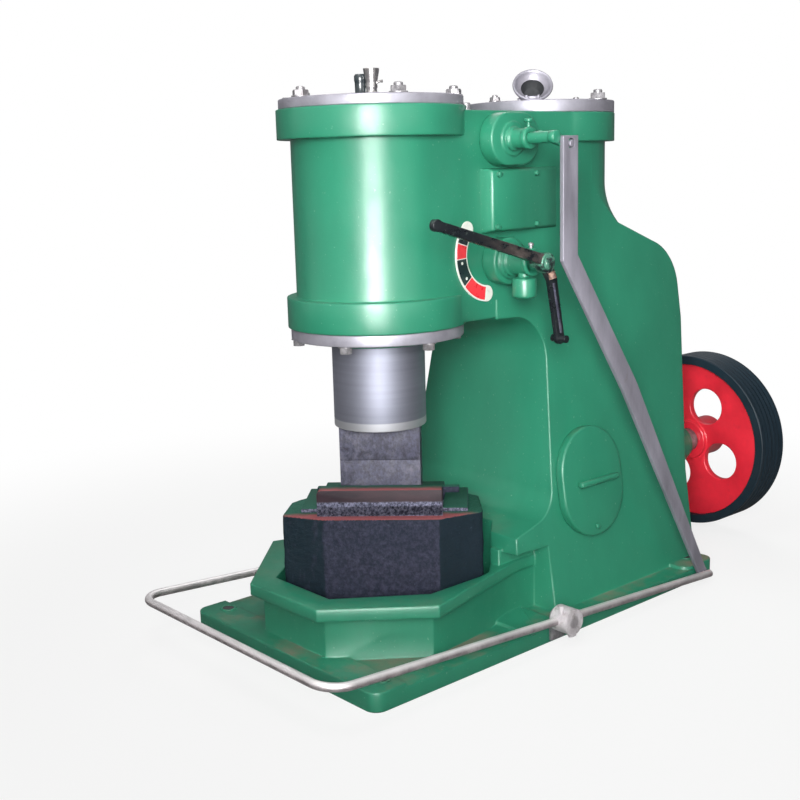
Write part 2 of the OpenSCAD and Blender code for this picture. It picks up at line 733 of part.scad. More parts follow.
// children stand on the column's sloping side, at the side cover's height
module on_column() { translate([half_w(side_z), 0, side_z]) rotate([0, -atan(col_slope), 0]) children(); }
module side_cover() {
  color(green) on_column() slab_yz(seat, side_t) union() {
    translate([side_y, -side_s]) circle(side_r, $fn = 96);
    translate([side_y, side_s]) circle(side_r, $fn = 96);
    translate([side_y - side_r, -side_s]) square([2 * side_r, 2 * side_s]);
  }
}
module side_cover_handle() {
  color(green) on_column() union() {
    rod_y(handle_y, handle_y + handle_l, side_t + 12, 0, 7, 32);
    for (y = [handle_y + 10, handle_y + handle_l - 10]) rod_x(side_t, side_t + 12, y, 0, 6, 32);
  }
}
module rear_bearing() {
  color(green) difference() {
    union() {
      rod_y(bearing_y, bearing_y + 26, wheel_x, wheel_z, bearing_r);
      rod_y(bearing_y + 26, wheel_y - 62, wheel_x, wheel_z, crank_r + 24);
      rod_y(wheel_y - 62, wheel_y - 40, wheel_x, wheel_z, crank_r + 16);
    }
    rod_y(bearing_y - 1, wheel_y, wheel_x, wheel_z, crank_r + run_fit);
  }
}
module crankshaft() {
  color(steel) rod_y(bearing_y, wheel_y + wheel_w + 12, wheel_x, wheel_z, crank_r);
}
module wheel_web() {
  color(red) difference() {
    union() {
      rod_y(wheel_y + 14, wheel_y + 14 + web_t, wheel_x, wheel_z, web_r);
      rod_y(wheel_y + 2, wheel_y + wheel_w, wheel_x, wheel_z, web_hub);
    }
    rod_y(wheel_y - 10, wheel_y + wheel_w + 10, wheel_x, wheel_z, crank_r);
    for (i = [0:3]) rod_y(wheel_y, wheel_y + wheel_w / 2, wheel_x + web_ring * cos(64 + 90 * i), wheel_z + web_ring * sin(64 + 90 * i), web_hole, 64);
  }
}
module wheel_rim() {
  color(dark) difference() {
    rod_y(wheel_y, wheel_y + wheel_w, wheel_x, wheel_z, wheel_r, 128);
    rod_y(wheel_y - 1, wheel_y + wheel_w + 1, wheel_x, wheel_z, web_r, 128);
  }
}

frame_casting();
cylinder_cover();
compressor_cover();
lower_ring();
ram_gland();
ram();
upper_die();
lower_die();
sow_block();
die_key();
anvil();
intake_elbow();
air_cock_body();
air_cock_funnel();
upper_valve_boss();
upper_valve_shaft();
upper_valve_crank();
valve_chest_cover();
lower_valve_boss();
control_shaft();
lever_hub();
control_lever();
hanging_lever();
quadrant_plate();
oil_pot();
link_bar();
treadle();
treadle_pivot_right();
treadle_pivot_left();
treadle_clamps();
side_cover();
side_cover_handle();
rear_bearing();
crankshaft();
wheel_web();
wheel_rim();
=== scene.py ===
"""Pneumatic forging hammer, laid out as an add-on and run as a script.

Metres, +Z up; the ram's axis is X = Y = 0, the work side faces -Y and the
valve levers are on the +X side, as in the frame that is loaded below.
Outlines, profiles and places are given in millimetres, and angles in degrees.
"""

import json
import math
import sys

import bmesh
import bpy
from mathutils import Matrix, Vector, noise
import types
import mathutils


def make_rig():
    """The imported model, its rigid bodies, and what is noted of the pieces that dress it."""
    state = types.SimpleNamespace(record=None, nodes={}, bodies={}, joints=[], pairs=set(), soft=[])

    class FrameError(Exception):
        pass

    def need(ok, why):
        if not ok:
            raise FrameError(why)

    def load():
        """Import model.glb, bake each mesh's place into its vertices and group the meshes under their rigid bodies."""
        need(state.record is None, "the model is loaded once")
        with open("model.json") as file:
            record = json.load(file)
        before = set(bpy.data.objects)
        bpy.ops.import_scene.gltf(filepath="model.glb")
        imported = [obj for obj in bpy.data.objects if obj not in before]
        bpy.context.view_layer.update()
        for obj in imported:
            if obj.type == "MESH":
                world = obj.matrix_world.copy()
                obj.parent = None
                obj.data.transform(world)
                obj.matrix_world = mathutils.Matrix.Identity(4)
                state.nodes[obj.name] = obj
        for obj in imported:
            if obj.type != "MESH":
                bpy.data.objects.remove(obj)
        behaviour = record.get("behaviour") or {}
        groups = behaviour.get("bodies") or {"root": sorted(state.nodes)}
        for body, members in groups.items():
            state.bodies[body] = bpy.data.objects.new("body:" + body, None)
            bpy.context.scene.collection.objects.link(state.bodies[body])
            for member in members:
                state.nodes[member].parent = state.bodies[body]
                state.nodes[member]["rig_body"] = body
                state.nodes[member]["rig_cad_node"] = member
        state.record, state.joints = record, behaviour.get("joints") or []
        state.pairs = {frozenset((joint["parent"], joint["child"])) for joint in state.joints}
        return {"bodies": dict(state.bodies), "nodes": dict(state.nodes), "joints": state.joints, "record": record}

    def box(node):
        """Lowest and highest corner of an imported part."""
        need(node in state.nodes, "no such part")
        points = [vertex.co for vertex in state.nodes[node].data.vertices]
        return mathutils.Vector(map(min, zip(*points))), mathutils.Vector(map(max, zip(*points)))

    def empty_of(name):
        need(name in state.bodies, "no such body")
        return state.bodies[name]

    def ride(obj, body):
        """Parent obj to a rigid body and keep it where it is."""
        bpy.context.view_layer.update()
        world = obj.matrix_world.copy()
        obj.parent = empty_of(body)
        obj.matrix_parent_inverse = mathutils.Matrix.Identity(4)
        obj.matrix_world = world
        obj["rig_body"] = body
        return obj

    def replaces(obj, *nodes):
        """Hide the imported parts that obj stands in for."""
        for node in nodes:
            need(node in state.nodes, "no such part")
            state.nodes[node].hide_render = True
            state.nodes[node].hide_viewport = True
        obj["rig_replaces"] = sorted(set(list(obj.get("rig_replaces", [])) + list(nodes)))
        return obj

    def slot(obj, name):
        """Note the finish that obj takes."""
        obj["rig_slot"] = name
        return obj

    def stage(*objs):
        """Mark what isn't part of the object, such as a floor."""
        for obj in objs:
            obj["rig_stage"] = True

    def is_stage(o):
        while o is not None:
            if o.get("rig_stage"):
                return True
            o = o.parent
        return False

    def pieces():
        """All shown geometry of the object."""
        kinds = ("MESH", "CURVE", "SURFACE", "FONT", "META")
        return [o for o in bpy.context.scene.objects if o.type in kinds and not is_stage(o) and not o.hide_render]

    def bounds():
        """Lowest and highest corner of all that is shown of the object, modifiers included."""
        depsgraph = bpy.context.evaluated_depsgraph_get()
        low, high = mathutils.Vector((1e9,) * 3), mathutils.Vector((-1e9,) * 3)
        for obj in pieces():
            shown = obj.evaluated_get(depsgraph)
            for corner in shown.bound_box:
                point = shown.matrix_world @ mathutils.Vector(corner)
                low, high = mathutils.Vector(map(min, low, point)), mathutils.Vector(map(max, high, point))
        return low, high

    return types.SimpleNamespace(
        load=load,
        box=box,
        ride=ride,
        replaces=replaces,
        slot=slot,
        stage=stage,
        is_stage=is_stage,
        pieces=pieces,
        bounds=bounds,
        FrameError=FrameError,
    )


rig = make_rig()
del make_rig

bl_info = {
    "name": "Pneumatic forging hammer",
    "version": (1, 0, 0),
    "blender": (4, 5, 0),
    "location": "3D View > Sidebar > Hammer",
    "description": "Builds the dressed pieces of a small pneumatic forging hammer",
    "category": "Object",
}

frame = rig.load()
CAD_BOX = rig.bounds()
SIZE_FILE = "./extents.json"
MM = 0.001
SMOOTH_ANGLE = 38
SAME_PLACE = 1e-5  # metres within which two corners are one

UP, DOWN, OUTWARD = (0, 0, 1), (0, 0, -1), (1, 0, 0)
ANVIL_FRONT = (0.707, -0.707, 0)
# Stands a flat outline up: its x and y become Y and Z, and its thickness runs along X.
SIDEWAYS = Matrix(((0, 0, 1, 0), (1, 0, 0, 0), (0, 1, 0, 0), (0, 0, 0, 1)))
# Sow block and key stand cornerwise on the anvil.
DIE_TURN = Matrix.Rotation(math.radians(-45), 4, "Z")

# Depth and height of the upper valve's axis, and of its crank's pin.
UPPER_VALVE = (214, 1084)
CRANK_PIN = (247, 1070)
# The flat wall between the cylinders: where it starts, and how fast it draws in.
WALL_Y, WALL_X = 6, 171.8968
WALL_TAPER = 19 / 529


# ---------------------------------------------------------------- places


def mm(*values):
    """Millimetres to a vector in metres."""
    return Vector(values) * MM


def at(place, axis=UP, turn=0.0):
    """A matrix that puts local +Z along axis at place; turn, in radians, is about that axis."""
    aim = Vector(axis).to_track_quat("Z", "Y").to_matrix().to_4x4()
    return Matrix.Translation(mm(*place)) @ aim @ Matrix.Rotation(turn, 4, "Z")


def crosswise(y, z):
    """A matrix for what is turned about an axis across the machine."""
    return at((0, y, z), OUTWARD)


def on_wall(y):
    """Stands things on the flat wall: X becomes its outward normal, Y and Z stay."""
    wall = WALL_X - (y - WALL_Y) * WALL_TAPER
    turn = Matrix.Rotation(math.atan(WALL_TAPER), 4, "Z")
    return Matrix.Translation(mm(wall, y, 0)) @ turn @ Matrix.Translation(mm(0, -y, 0))


def towards(azimuth, elevation):
    """A direction from the machine; azimuth 0 is the work side and 90 the lever side."""
    a, e = math.radians(azimuth), math.radians(elevation)
    return Vector((math.sin(a) * math.cos(e), -math.cos(a) * math.cos(e), math.sin(e)))


def on_circle(centre, radius, degrees):
    """A point on a circle in a plane."""
    a = math.radians(degrees)
    return centre[0] + radius * math.cos(a), centre[1] + radius * math.sin(a)


def arc(centre, radius, start, end, steps):
    """Points of an arc in a plane."""
    return [on_circle(centre, radius, start + (end - start) * i / steps) for i in range(steps + 1)]


def rectangle(x0, y0, x1, y1):
    """Corners of a flat rectangle."""
    return [(x0, y0), (x1, y0), (x1, y1), (x0, y1)]


def node_box(node):
    """Lowest and highest corner of a node."""
    low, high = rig.box(node)
    return low / MM, high / MM


def middle_of(node):
    """Centre of a node's box."""
    low, high = node_box(node)
    return (low + high) / 2


def foot_of(node):
    """Height of a node's underside."""
    return node_box(node)[0].z


def top_of(node):
    """Height of a node's top."""
    return node_box(node)[1].z


def end_of(node):
    """How far a node reaches out on the lever side."""
    return node_box(node)[1].x


def size(name):
    """A size from the settings."""
    return getattr(bpy.context.scene.hammer_sizes, name) / MM


# ---------------------------------------------------------------- shapes


def loop_faces(bm, rings, close=True, cap_low=False, cap_high=False):
    """Joins rings of vertices into a skin."""
    for low, high in zip(rings, rings[1:]):
        n = len(low)
        for i in range(n if close else n - 1):
            j = (i + 1) % n
            corners = list(dict.fromkeys([low[i], low[j], high[j], high[i]]))
            if len(corners) > 2:
                bm.faces.new(corners)
    if cap_low:
        bm.faces.new(list(reversed(rings[0])))
    if cap_high:
        bm.faces.new(rings[-1])


def lathe(bm, profile, matrix, sides, second=False):
    """Turns (radius, height) points round local Z; ends on the axis close it.

    A second shape takes the piece's second finish.
    """
    start = len(bm.faces)
    rings = []
    for radius, height in profile:
        if radius < 1e-6:
            rings.append([bm.verts.new(matrix @ mm(0, 0, height))] * sides)
        else:
            rings.append([
                bm.verts.new(matrix @ mm(radius * math.cos(a), radius * math.sin(a), height))
                for a in (2 * math.pi * i / sides for i in range(sides))
            ])
    loop_faces(bm, rings)
    if second:
        for face in list(bm.faces)[start:]:
            face.material_index = 1


def disc(bm, radius, z0, z1, matrix, edge, sides, bore=0.0):
    """A disc, or a ring where it has a bore, with rounded outer edges."""
    turns = [math.pi / 2 * i / 3 for i in range(4)]
    inside = radius - edge
    profile = [(bore, z0)]
    profile += [(inside + edge * math.sin(a), z0 + edge - edge * math.cos(a)) for a in turns]
    profile += [(inside + edge * math.cos(a), z1 - edge + edge * math.sin(a)) for a in turns]
    profile.append((bore, z1))
    if bore:
        profile.append((bore, z0))
    lathe(bm, profile, matrix, sides)


def merge(bm, part, matrix):
    """Adds one mesh under construction to another, and frees it."""
    part.transform(matrix)
    spare = bpy.data.meshes.new("spare")
    part.to_mesh(spare)
    part.free()
    bm.from_mesh(spare)
    bpy.data.meshes.remove(spare)


def round_edges(bm, edge, segments, angle, clamp=True):
    """Rounds the edges that turn by more than angle."""
    sharp = [e for e in bm.edges if e.is_manifold and e.calc_face_angle(0) > math.radians(angle)]
    bmesh.ops.bevel(bm, geom=sharp, offset=edge * MM, segments=segments, profile=0.5,
                    affect="EDGES", clamp_overlap=clamp)


def prism(bm, outline, z0, z1, edge, matrix=Matrix.Identity(4), segments=2):
    """A slab over a flat outline, with its sharp edges rounded."""
    part = bmesh.new()
    low, high = ([part.verts.new(mm(x, y, z)) for x, y in outline] for z in (z0, z1))
    loop_faces(part, [low, high], cap_low=True, cap_high=True)
    bmesh.ops.recalc_face_normals(part, faces=part.faces)
    round_edges(part, edge, segments, 25)
    merge(bm, part, matrix)


def nut(bm, width, z0, z1, matrix):
    """A hexagon nut or head, by its width over flats, with its top corners chamfered."""
    corner, chamfer, sides = width / math.sqrt(3), 0.096 * width, 24
    sixth = math.pi / 3
    part = bmesh.new()
    rings = []
    for z, cut in ((z0, 1.0), (z1 - chamfer, 1.0), (z1, 0.90)):
        ring = []
        for i in range(sides):
            a = 2 * math.pi * i / sides
            across = width / 2 / math.cos((a + sixth / 2) % sixth - sixth / 2)
            reach = min(across, corner * cut)
            ring.append(part.verts.new(mm(reach * math.cos(a), reach * math.sin(a), z)))
        rings.append(ring)
    loop_faces(part, rings, cap_low=True, cap_high=True)
    merge(bm, part, matrix)


def stud_nut(bm, place, width, share, turn):
    """A washer, a nut and the stud's end; share makes the set smaller or larger."""
    m = at(place, turn=turn)
    height, tip = 11 * share, 3 + 18 * share
    disc(bm, 19 * share, 0, 3, m, 0.8, 24)
    nut(bm, width * share, 3, 3 + height, m)
    r = width * share * 0.32
    lathe(bm, [(0, height), (r, height), (r, tip - 2), (r - 2, tip), (0, tip)], m, 18)


def hex_bolt(bm, place, axis, width, height, washer=0, turn=0.2):
    """A hexagon bolt head, with a washer where its radius is given."""
    m = at(place, axis, turn)
    lift = 2 if washer else 0
    if washer:
        disc(bm, washer, 0, lift, m, 0.6, 20)
    nut(bm, width, lift, lift + height, m)


def tube(bm, points, radii, sides):
    """A round bar along points, with a radius for each of them."""
    points = [Vector(p) for p in points]
    rings, normal = [], None
    for i, (p, radius) in enumerate(zip(points, radii)):
        tangent = (points[min(len(points) - 1, i + 1)] - points[max(0, i - 1)]).normalized()
        if normal is None:
            normal = tangent.orthogonal().normalized()
        normal = (normal - tangent * normal.dot(tangent)).normalized()
        side = tangent.cross(normal)
        rings.append([
            bm.verts.new((p + radius * (normal * math.cos(a) + side * math.sin(a))) * MM)
            for a in (2 * math.pi * k / sides for k in range(sides))
        ])
    loop_faces(bm, rings, cap_low=True, cap_high=True)


def rounded(node, edge, segments=2, angle=28, clamp=True, change=None):
    """A copy of a node's shape with its sharp edges rounded; change alters it first."""
    bm = bmesh.new()
    bm.from_mesh(frame["nodes"][node].data)
    bmesh.ops.remove_doubles(bm, verts=bm.verts, dist=SAME_PLACE)
    bmesh.ops.dissolve_limit(bm, angle_limit=math.radians(0.4), verts=bm.verts, edges=bm.edges,
                             use_dissolve_boundaries=False, delimit=set())
    if change:
        change(bm)
    round_edges(bm, edge, segments, angle, clamp)
    return bm


def new_object(name, bm):
    """Turns a mesh under construction into an object in the scene."""
    mesh = bpy.data.meshes.new(name)
    bm.to_mesh(mesh)
    bm.free()
    made = bpy.data.objects.new(name, mesh)
    bpy.context.scene.collection.objects.link(made)
    return made


def piece(name, bm, paint, slot, *nodes, body="frame", smooth=SMOOTH_ANGLE):
    """Makes a piece, hangs it on its body and lets it replace nodes.

    The paint names one finish, or two with a space between them.
    """
    bmesh.ops.recalc_face_normals(bm, faces=bm.faces)
    obj = new_object(name, bm)
    mesh = obj.data
    mesh.polygons.foreach_set("use_smooth", [True] * len(mesh.polygons))
    mesh.set_sharp_from_angle(angle=math.radians(smooth))
    for one in paint.split():
        mesh.materials.append(finish(one))
    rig.ride(obj, body)
    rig.slot(obj, slot)
    if nodes:
        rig.replaces(obj, *nodes)


def casting(name, bm, *nodes):
    """A piece of the green castings."""
    piece(name, bm, "green", "green_paint", *nodes)


def dressed(name, node, edge, segments, paint, slot, body="frame", angle=28):
    """A node's own shape with rounded edges, as a piece."""
    piece(name, rounded(node, edge, segments, angle), paint, slot, node, body=body)


# ---------------------------------------------------------------- finishes


class Nodes:
    """Adds nodes to the tree of a material or the world."""

    def __init__(self, owner, clear=False):
        owner.use_nodes = True
        self.owner, self.tree = owner, owner.node_tree
        if clear:
            self.tree.nodes.clear()

    def node(self, kind, inputs=None, **settings):
        """Adds a node; each input is a value or another node's output."""
        made = self.tree.nodes.new("ShaderNode" + kind)
        for key, value in settings.items():
            setattr(made, key, value)
        for key, value in (inputs or {}).items():
            socket = made.inputs[key]
            if isinstance(value, bpy.types.NodeSocket):
                self.tree.links.new(value, socket)
            elif socket.type == "RGBA":
                socket.default_value = (*value[:3], 1)
            else:
                socket.default_value = value
        return made

    def combine(self, operation, a, b):
        """Two values worked into one."""
        return self.node("Math", {0: a, 1: b}, operation=operation).outputs[0]

    def times(self, a, b):
        """The product of two values."""
        return self.combine("MULTIPLY", a, b)

    def plus(self, a, b):
        """The sum of two values."""
        return self.combine("ADD", a, b)

    def ramp(self, value, low, high, out_low=0.0, out_high=1.0, **settings):
        """Runs from out_low to out_high while the value runs from low to high."""
        return self.node("MapRange", {
            "Value": value, "From Min": low, "From Max": high,
            "To Min": out_low, "To Max": out_high,
        }, **settings).outputs[0]

    def mix(self, factor, a, b, blend="MIX"):
        """One colour at 0 and another at 1."""
        made = self.node("Mix", {0: factor, 6: a, 7: b}, data_type="RGBA", blend_type=blend)
        return made.outputs[2]

    def blend(self, value, low, high, a, b):
        """One colour where the value is below low, another where it is above high."""
        return self.mix(self.ramp(value, low, high), a, b)

    def spots(self, colour, value, low, high, share, other):
        """Lays a share of another colour over the first, where the value is high."""
        return self.mix(self.ramp(value, low, high, 0.0, share), colour, other)


class Finish(Nodes):
    """One paint or metal skin, in the object's own coordinates."""

    def __init__(self, name, **sockets):
        super().__init__(bpy.data.materials.new(name))
        self.shader = self.tree.nodes["Principled BSDF"]
        for socket, value in sockets.items():
            self.shader.inputs[socket.replace("_", " ")].default_value = value
        self.where = self.node("TexCoord").outputs["Object"]

    def noise(self, scale, detail, rough, stretch=None):
        """Cloudy noise; stretch scales it along X, Y and Z."""
        where = self.where
        if stretch:
            where = self.node("Mapping", {"Vector": where, "Scale": stretch}).outputs[0]
        return self.node("TexNoise", {
            "Vector": where, "Scale": scale, "Detail": detail, "Roughness": rough,
        }).outputs["Fac"]

    def place(self, axis):
        """The coordinate along one axis, in metres."""
        return self.node("SeparateXYZ", {0: self.where}).outputs[axis]

    def dot(self, vector, direction):
        """How far a vector reaches in a direction."""
        made = self.node("VectorMath", {0: vector, 1: direction}, operation="DOT_PRODUCT")
        return made.outputs["Value"]

    def facing(self, direction):
        """1 where the surface faces the direction."""
        return self.dot(self.node("NewGeometry").outputs["Normal"], direction)

    def rusty_top(self, colour, looks, low, high, back):
        """Level faces: red rust along the front edge, another colour further back."""
        ahead = self.dot(self.where, ANVIL_FRONT)
        wavy = self.plus(ahead, self.times(self.noise(35, 4, 0.6), 0.03))
        level = self.blend(wavy, 0.085, 0.105, back, looks.rust_top)
        return self.blend(self.facing(UP), low, high, colour, level)

    def bump(self, height, distance, strength, under=None):
        """A relief, over another where one is given."""
        inputs = {"Height": height, "Distance": distance, "Strength": strength}
        if under is not None:
            inputs["Normal"] = under
        return self.node("Bump", inputs).outputs[0]

    def skin(self, colour, rough, height=None, distance=0.0, strength=0.6, under=None):
        """Gives the shader its colour, roughness and relief."""
        inputs = {"Base Color": colour, "Roughness": rough}
        if height is not None:
            inputs["Normal"] = self.bump(height, distance, strength, under)
        for socket, value in inputs.items():
            self.tree.links.new(value, self.shader.inputs[socket])
        return self.owner


FINISHES = {}
PLATE_ENAMELS = {
    "plate_cream": (0.72, 0.72, 0.66),
    "plate_red": (0.78, 0.035, 0.05),
    "plate_black": (0.010, 0.018, 0.022),
}


def finish(name):
    """The finish of that name, made once."""
    if name not in FINISHES:
        if name in PLATE_ENAMELS:
            FINISHES[name] = enamel(name, PLATE_ENAMELS[name])
        else:
            FINISHES[name] = globals()["finish_" + name](bpy.context.scene.hammer_looks)
    return FINISHES[name]


def shades(colour, *factors):
    """Darker and paler shades of a colour."""
    return [tuple(min(1.0, c * factor) for c in colour[:3]) for factor in factors]


def enamel(name, colour):
    """Glossy enamel of the quadrant plate."""
    f = Finish(name, Coat_Weight=0.5, Coat_Roughness=0.06)
    drift = f.noise(70, 4, 0.6)
    colour = f.mix(drift, *shades(colour, 0.85, 1.12))
    return f.skin(colour, f.ramp(drift, 0.3, 0.7, 0.25, 0.38), f.noise(200, 2, 0.5), 0.0002, 0.4)


def finish_green(looks):
    """Glossy green enamel on cast iron, dusty where it faces up."""
    f = Finish("green_enamel", Coat_Weight=0.2, Coat_Roughness=0.22, Specular_IOR_Level=0.4)
    colour = f.blend(f.noise(2.3, 3, 0.5), 0.3, 0.7, *shades(looks.green, 0.88, 1.10))
    colour = f.spots(colour, f.noise(14, 4, 0.6, (1, 1, 0.35)), 0.35, 0.7, 0.22, looks.green_deep)
    colour = f.spots(colour, f.noise(170, 2, 0.5), 0.70, 0.76, 0.22, (0.42, 0.62, 0.50))
    level = f.times(f.ramp(f.facing(UP), 0.80, 0.97), f.ramp(f.place("Z"), 0.045, 0.12, 1.0, 0.25))
    dusty = f.times(level, f.ramp(f.noise(6.5, 6, 0.65), 0.48, 0.66, 0.0, 0.75))
    colour = f.mix(dusty, colour, looks.dust)
    rough = f.plus(f.ramp(f.noise(30, 4, 0.6), 0.3, 0.75, 0.34, 0.46), f.times(dusty, 0.35))
    soft_edges = f.node("Bevel", {"Radius": 0.006}, samples=6).outputs[0]
    cast = f.bump(f.noise(11, 3, 0.5), 0.0016, 0.5, soft_edges)
    return f.skin(colour, rough, f.noise(240, 2, 0.5), 0.00025, 0.5, cast)


def finish_silver(looks):
    """Aluminium paint, slightly mottled, with handling marks."""
    f = Finish("aluminium_paint", Metallic=0.45)
    colour = f.blend(f.noise(22, 5, 0.6), 0.35, 0.7, *shades(looks.silver, 0.80, 1.08))
    colour = f.spots(colour, f.noise(7, 5, 0.65), 0.58, 0.78, 0.4, (0.22, 0.19, 0.20))
    rough = f.ramp(f.noise(60, 3, 0.6), 0.3, 0.7, 0.40, 0.58)
    return f.skin(colour, rough, f.noise(320, 3, 0.6), 0.0003)


def finish_clamp(looks):
    """Pale paint on the rough treadle clamps, with dirt in it."""
    f = Finish("pale_clamp_paint", Metallic=0.1)
    blot = f.ramp(f.noise(30, 5, 0.65), 0.35, 0.68)
    colour = f.mix(blot, (0.46, 0.42, 0.44), (0.70, 0.66, 0.68))
    colour = f.spots(colour, f.noise(58, 5, 0.7), 0.55, 0.66, 0.55, (0.20, 0.16, 0.15))
    return f.skin(colour, f.ramp(blot, 0.0, 1.0, 0.62, 0.45), f.noise(85, 5, 0.65), 0.0016, 0.7)


def finish_ram(looks):
    """Ground steel with fine marks round it, and a painted highlight: a pale band round its foot."""
    f = Finish("ground_steel", Metallic=1.0)
    rings = f.noise(1.0, 3, 0.5, (4, 4, 120))
    colour = f.blend(rings, 0.2, 0.8, (0.172, 0.178, 0.214), (0.212, 0.218, 0.260))
    haze = f.ramp(f.noise(9, 4, 0.6, (1, 1, 0.3)), 0.45, 0.75)
    colour = f.mix(f.times(haze, 0.3), colour, (0.11, 0.115, 0.14))
    # Painted highlight: the lowest part of the ram is painted pale grey.
    colour = f.mix(f.ramp(f.place("Z"), 0.4965, 0.4985, 0.5, 0.0), colour, (0.50, 0.50, 0.50))
    return f.skin(colour, f.plus(f.ramp(rings, 0.2, 0.8, 0.58, 0.62), f.times(haze, 0.08)))


def finish_die(looks):
    """Mottled die steel, blue-grey with pale scuffs."""
    f = Finish("die_steel", Metallic=0.15, Specular_IOR_Level=0.3)
    fine = f.noise(120, 6, 0.8, (1, 1, 0.7))
    colour = f.blend(fine, 0.40, 0.62, *shades(looks.die, 0.36, 1.2))
    colour = f.spots(colour, f.noise(22, 6, 0.75), 0.46, 0.68, 0.7, (0.17, 0.165, 0.205))
    return f.skin(colour, f.ramp(fine, 0.3, 0.7, 0.52, 0.72), f.noise(150, 6, 0.7), 0.0009)


def finish_sow(looks):
    """Forged block: a smooth brown-red band above, rough scale below."""
    f = Finish("sow_block_skin", Specular_IOR_Level=0.18)
    wavy = f.plus(f.place("Z"), f.times(f.noise(40, 3, 0.6), 0.006))
    above = f.ramp(wavy, 0.3265, 0.3300)
    fine = f.noise(170, 6, 0.75)
    scale = f.blend(fine, 0.42, 0.66, (0.022, 0.023, 0.040), (0.26, 0.265, 0.38))
    streaks = f.noise(24, 5, 0.6, (0.5, 0.5, 2))
    band = f.blend(streaks, 0.35, 0.7, looks.rust_dark, (0.034, 0.015, 0.021))
    colour = f.rusty_top(f.mix(above, scale, band), looks, 0.5, 0.9, (0.022, 0.095, 0.066))
    grain = f.times(fine, f.ramp(above, 0.0, 1.0, 1.0, 0.08))
    return f.skin(colour, f.ramp(above, 0.0, 1.0, 0.72, 0.58), grain, 0.0022, 0.8)


def finish_anvil(looks):
    """Rough black casting with pale grains; rusty where it is machined on top; the face toward the front corner is
    painted paler, as painted light.
    """
    f = Finish("black_casting_skin", Specular_IOR_Level=0.1)
    fine = f.noise(95, 9, 0.74)
    broad = f.ramp(f.noise(9, 5, 0.6), 0.35, 0.7)
    sides = f.blend(fine, 0.45, 0.72, looks.anvil, (0.010, 0.023, 0.032))
    # Painted light: the face toward the front corner takes a paler copy of the black, as if lit, while the other faces
    # keep the casting's own black.
    front = f.blend(fine, 0.42, 0.70, (0.016, 0.019, 0.033), (0.055, 0.056, 0.092))
    colour = f.blend(f.facing(ANVIL_FRONT), 0.955, 0.985, sides, front)
    colour = f.mix(f.times(broad, 0.3), colour, (0.014, 0.022, 0.038))
    colour = f.spots(colour, f.noise(230, 3, 0.6), 0.68, 0.76, 0.3, (0.17, 0.20, 0.27))
    back = f.mix(broad, (0.022, 0.095, 0.065), (0.036, 0.150, 0.105))
    colour = f.rusty_top(colour, looks, 0.45, 0.85, back)
    relief = f.plus(fine, f.times(f.noise(26, 4, 0.6), 0.9))
    return f.skin(colour, f.ramp(fine, 0.35, 0.7, 0.55, 0.78), relief, 0.004, 0.8)


def finish_bar(looks):
    """Dull bare flat bar with scuffs along it."""
    f = Finish("bare_bar_skin", Metallic=0.35)
    scuffs = f.noise(16, 6, 0.65, (1, 1, 0.25))
    colour = f.blend(scuffs, 0.3, 0.7, *shades(looks.bar, 0.70, 1.15))
    colour = f.spots(colour, f.noise(28, 6, 0.7), 0.62, 0.80, 0.5, (0.16, 0.095, 0.075))
    return f.skin(colour, f.ramp(scuffs, 0.3, 0.7, 0.44, 0.60), f.noise(160, 4, 0.65), 0.0006)


def finish_treadle(looks):
    """Round bar with a brown film, paler on top: shoe wear there, and a painted highlight where the top is lit."""
    f = Finish("treadle_bar_skin", Metallic=0.6)
    fine = f.noise(34, 7, 0.7)
    colour = f.blend(fine, 0.32, 0.68, *shades(looks.treadle, 0.55, 1.25))
    colour = f.spots(colour, f.noise(11, 5, 0.65), 0.48, 0.72, 0.4, (0.150, 0.110, 0.105))
    # Painted highlight and shoe wear: faces that look up are painted near white.
    colour = f.spots(colour, f.facing(UP), 0.1, 0.85, 0.8, (0.94, 0.91, 0.91))
    return f.skin(colour, f.ramp(fine, 0.3, 0.7, 0.34, 0.56), f.noise(140, 5, 0.7), 0.0007)


def finish_zinc(looks):
    """Pale plated steel with stains, for nuts, studs, pivots and the crankshaft."""
    f = Finish("plated_steel", Metallic=0.6)
    fine = f.noise(70, 6, 0.65)
    colour = f.blend(fine, 0.32, 0.7, (0.17, 0.165, 0.175), (0.42, 0.405, 0.42))
    colour = f.spots(colour, f.noise(26, 5, 0.65), 0.56, 0.76, 0.6, (0.17, 0.125, 0.12))
    return f.skin(colour, f.ramp(fine, 0.3, 0.7, 0.30, 0.50), f.noise(260, 3, 0.6), 0.0003)


def finish_chrome(looks):
    """Bright turned brass under nickel."""
    f = Finish("nickel_plate", Metallic=1.0)
    rings = f.noise(1, 3, 0.5, (60, 60, 700))
    colour = f.blend(rings, 0.3, 0.7, (0.34, 0.33, 0.33), (0.50, 0.48, 0.47))
    return f.skin(colour, f.ramp(rings, 0.3, 0.7, 0.26, 0.36), rings, 0.00005, 0.4)


def finish_lever(looks):
    """Black paint worn through to brown steel towards the hub."""
    f = Finish("worn_black_paint", Metallic=0.2)
    wear = f.ramp(f.noise(48, 6, 0.7, (1, 0.5, 1)), 0.40, 0.66)
    near_hub = f.times(f.ramp(f.place("Y"), 0.0, 0.15), f.ramp(f.place("Z"), 0.795, 0.825))
    colour = f.mix(f.times(wear, near_hub), looks.black, (0.150, 0.115, 0.100))
    colour = f.spots(colour, f.noise(110, 4, 0.6), 0.62, 0.70, 0.4, (0.13, 0.17, 0.15))
    return f.skin(colour, f.ramp(wear, 0.0, 1.0, 0.26, 0.48), f.noise(130, 4, 0.6), 0.0005)


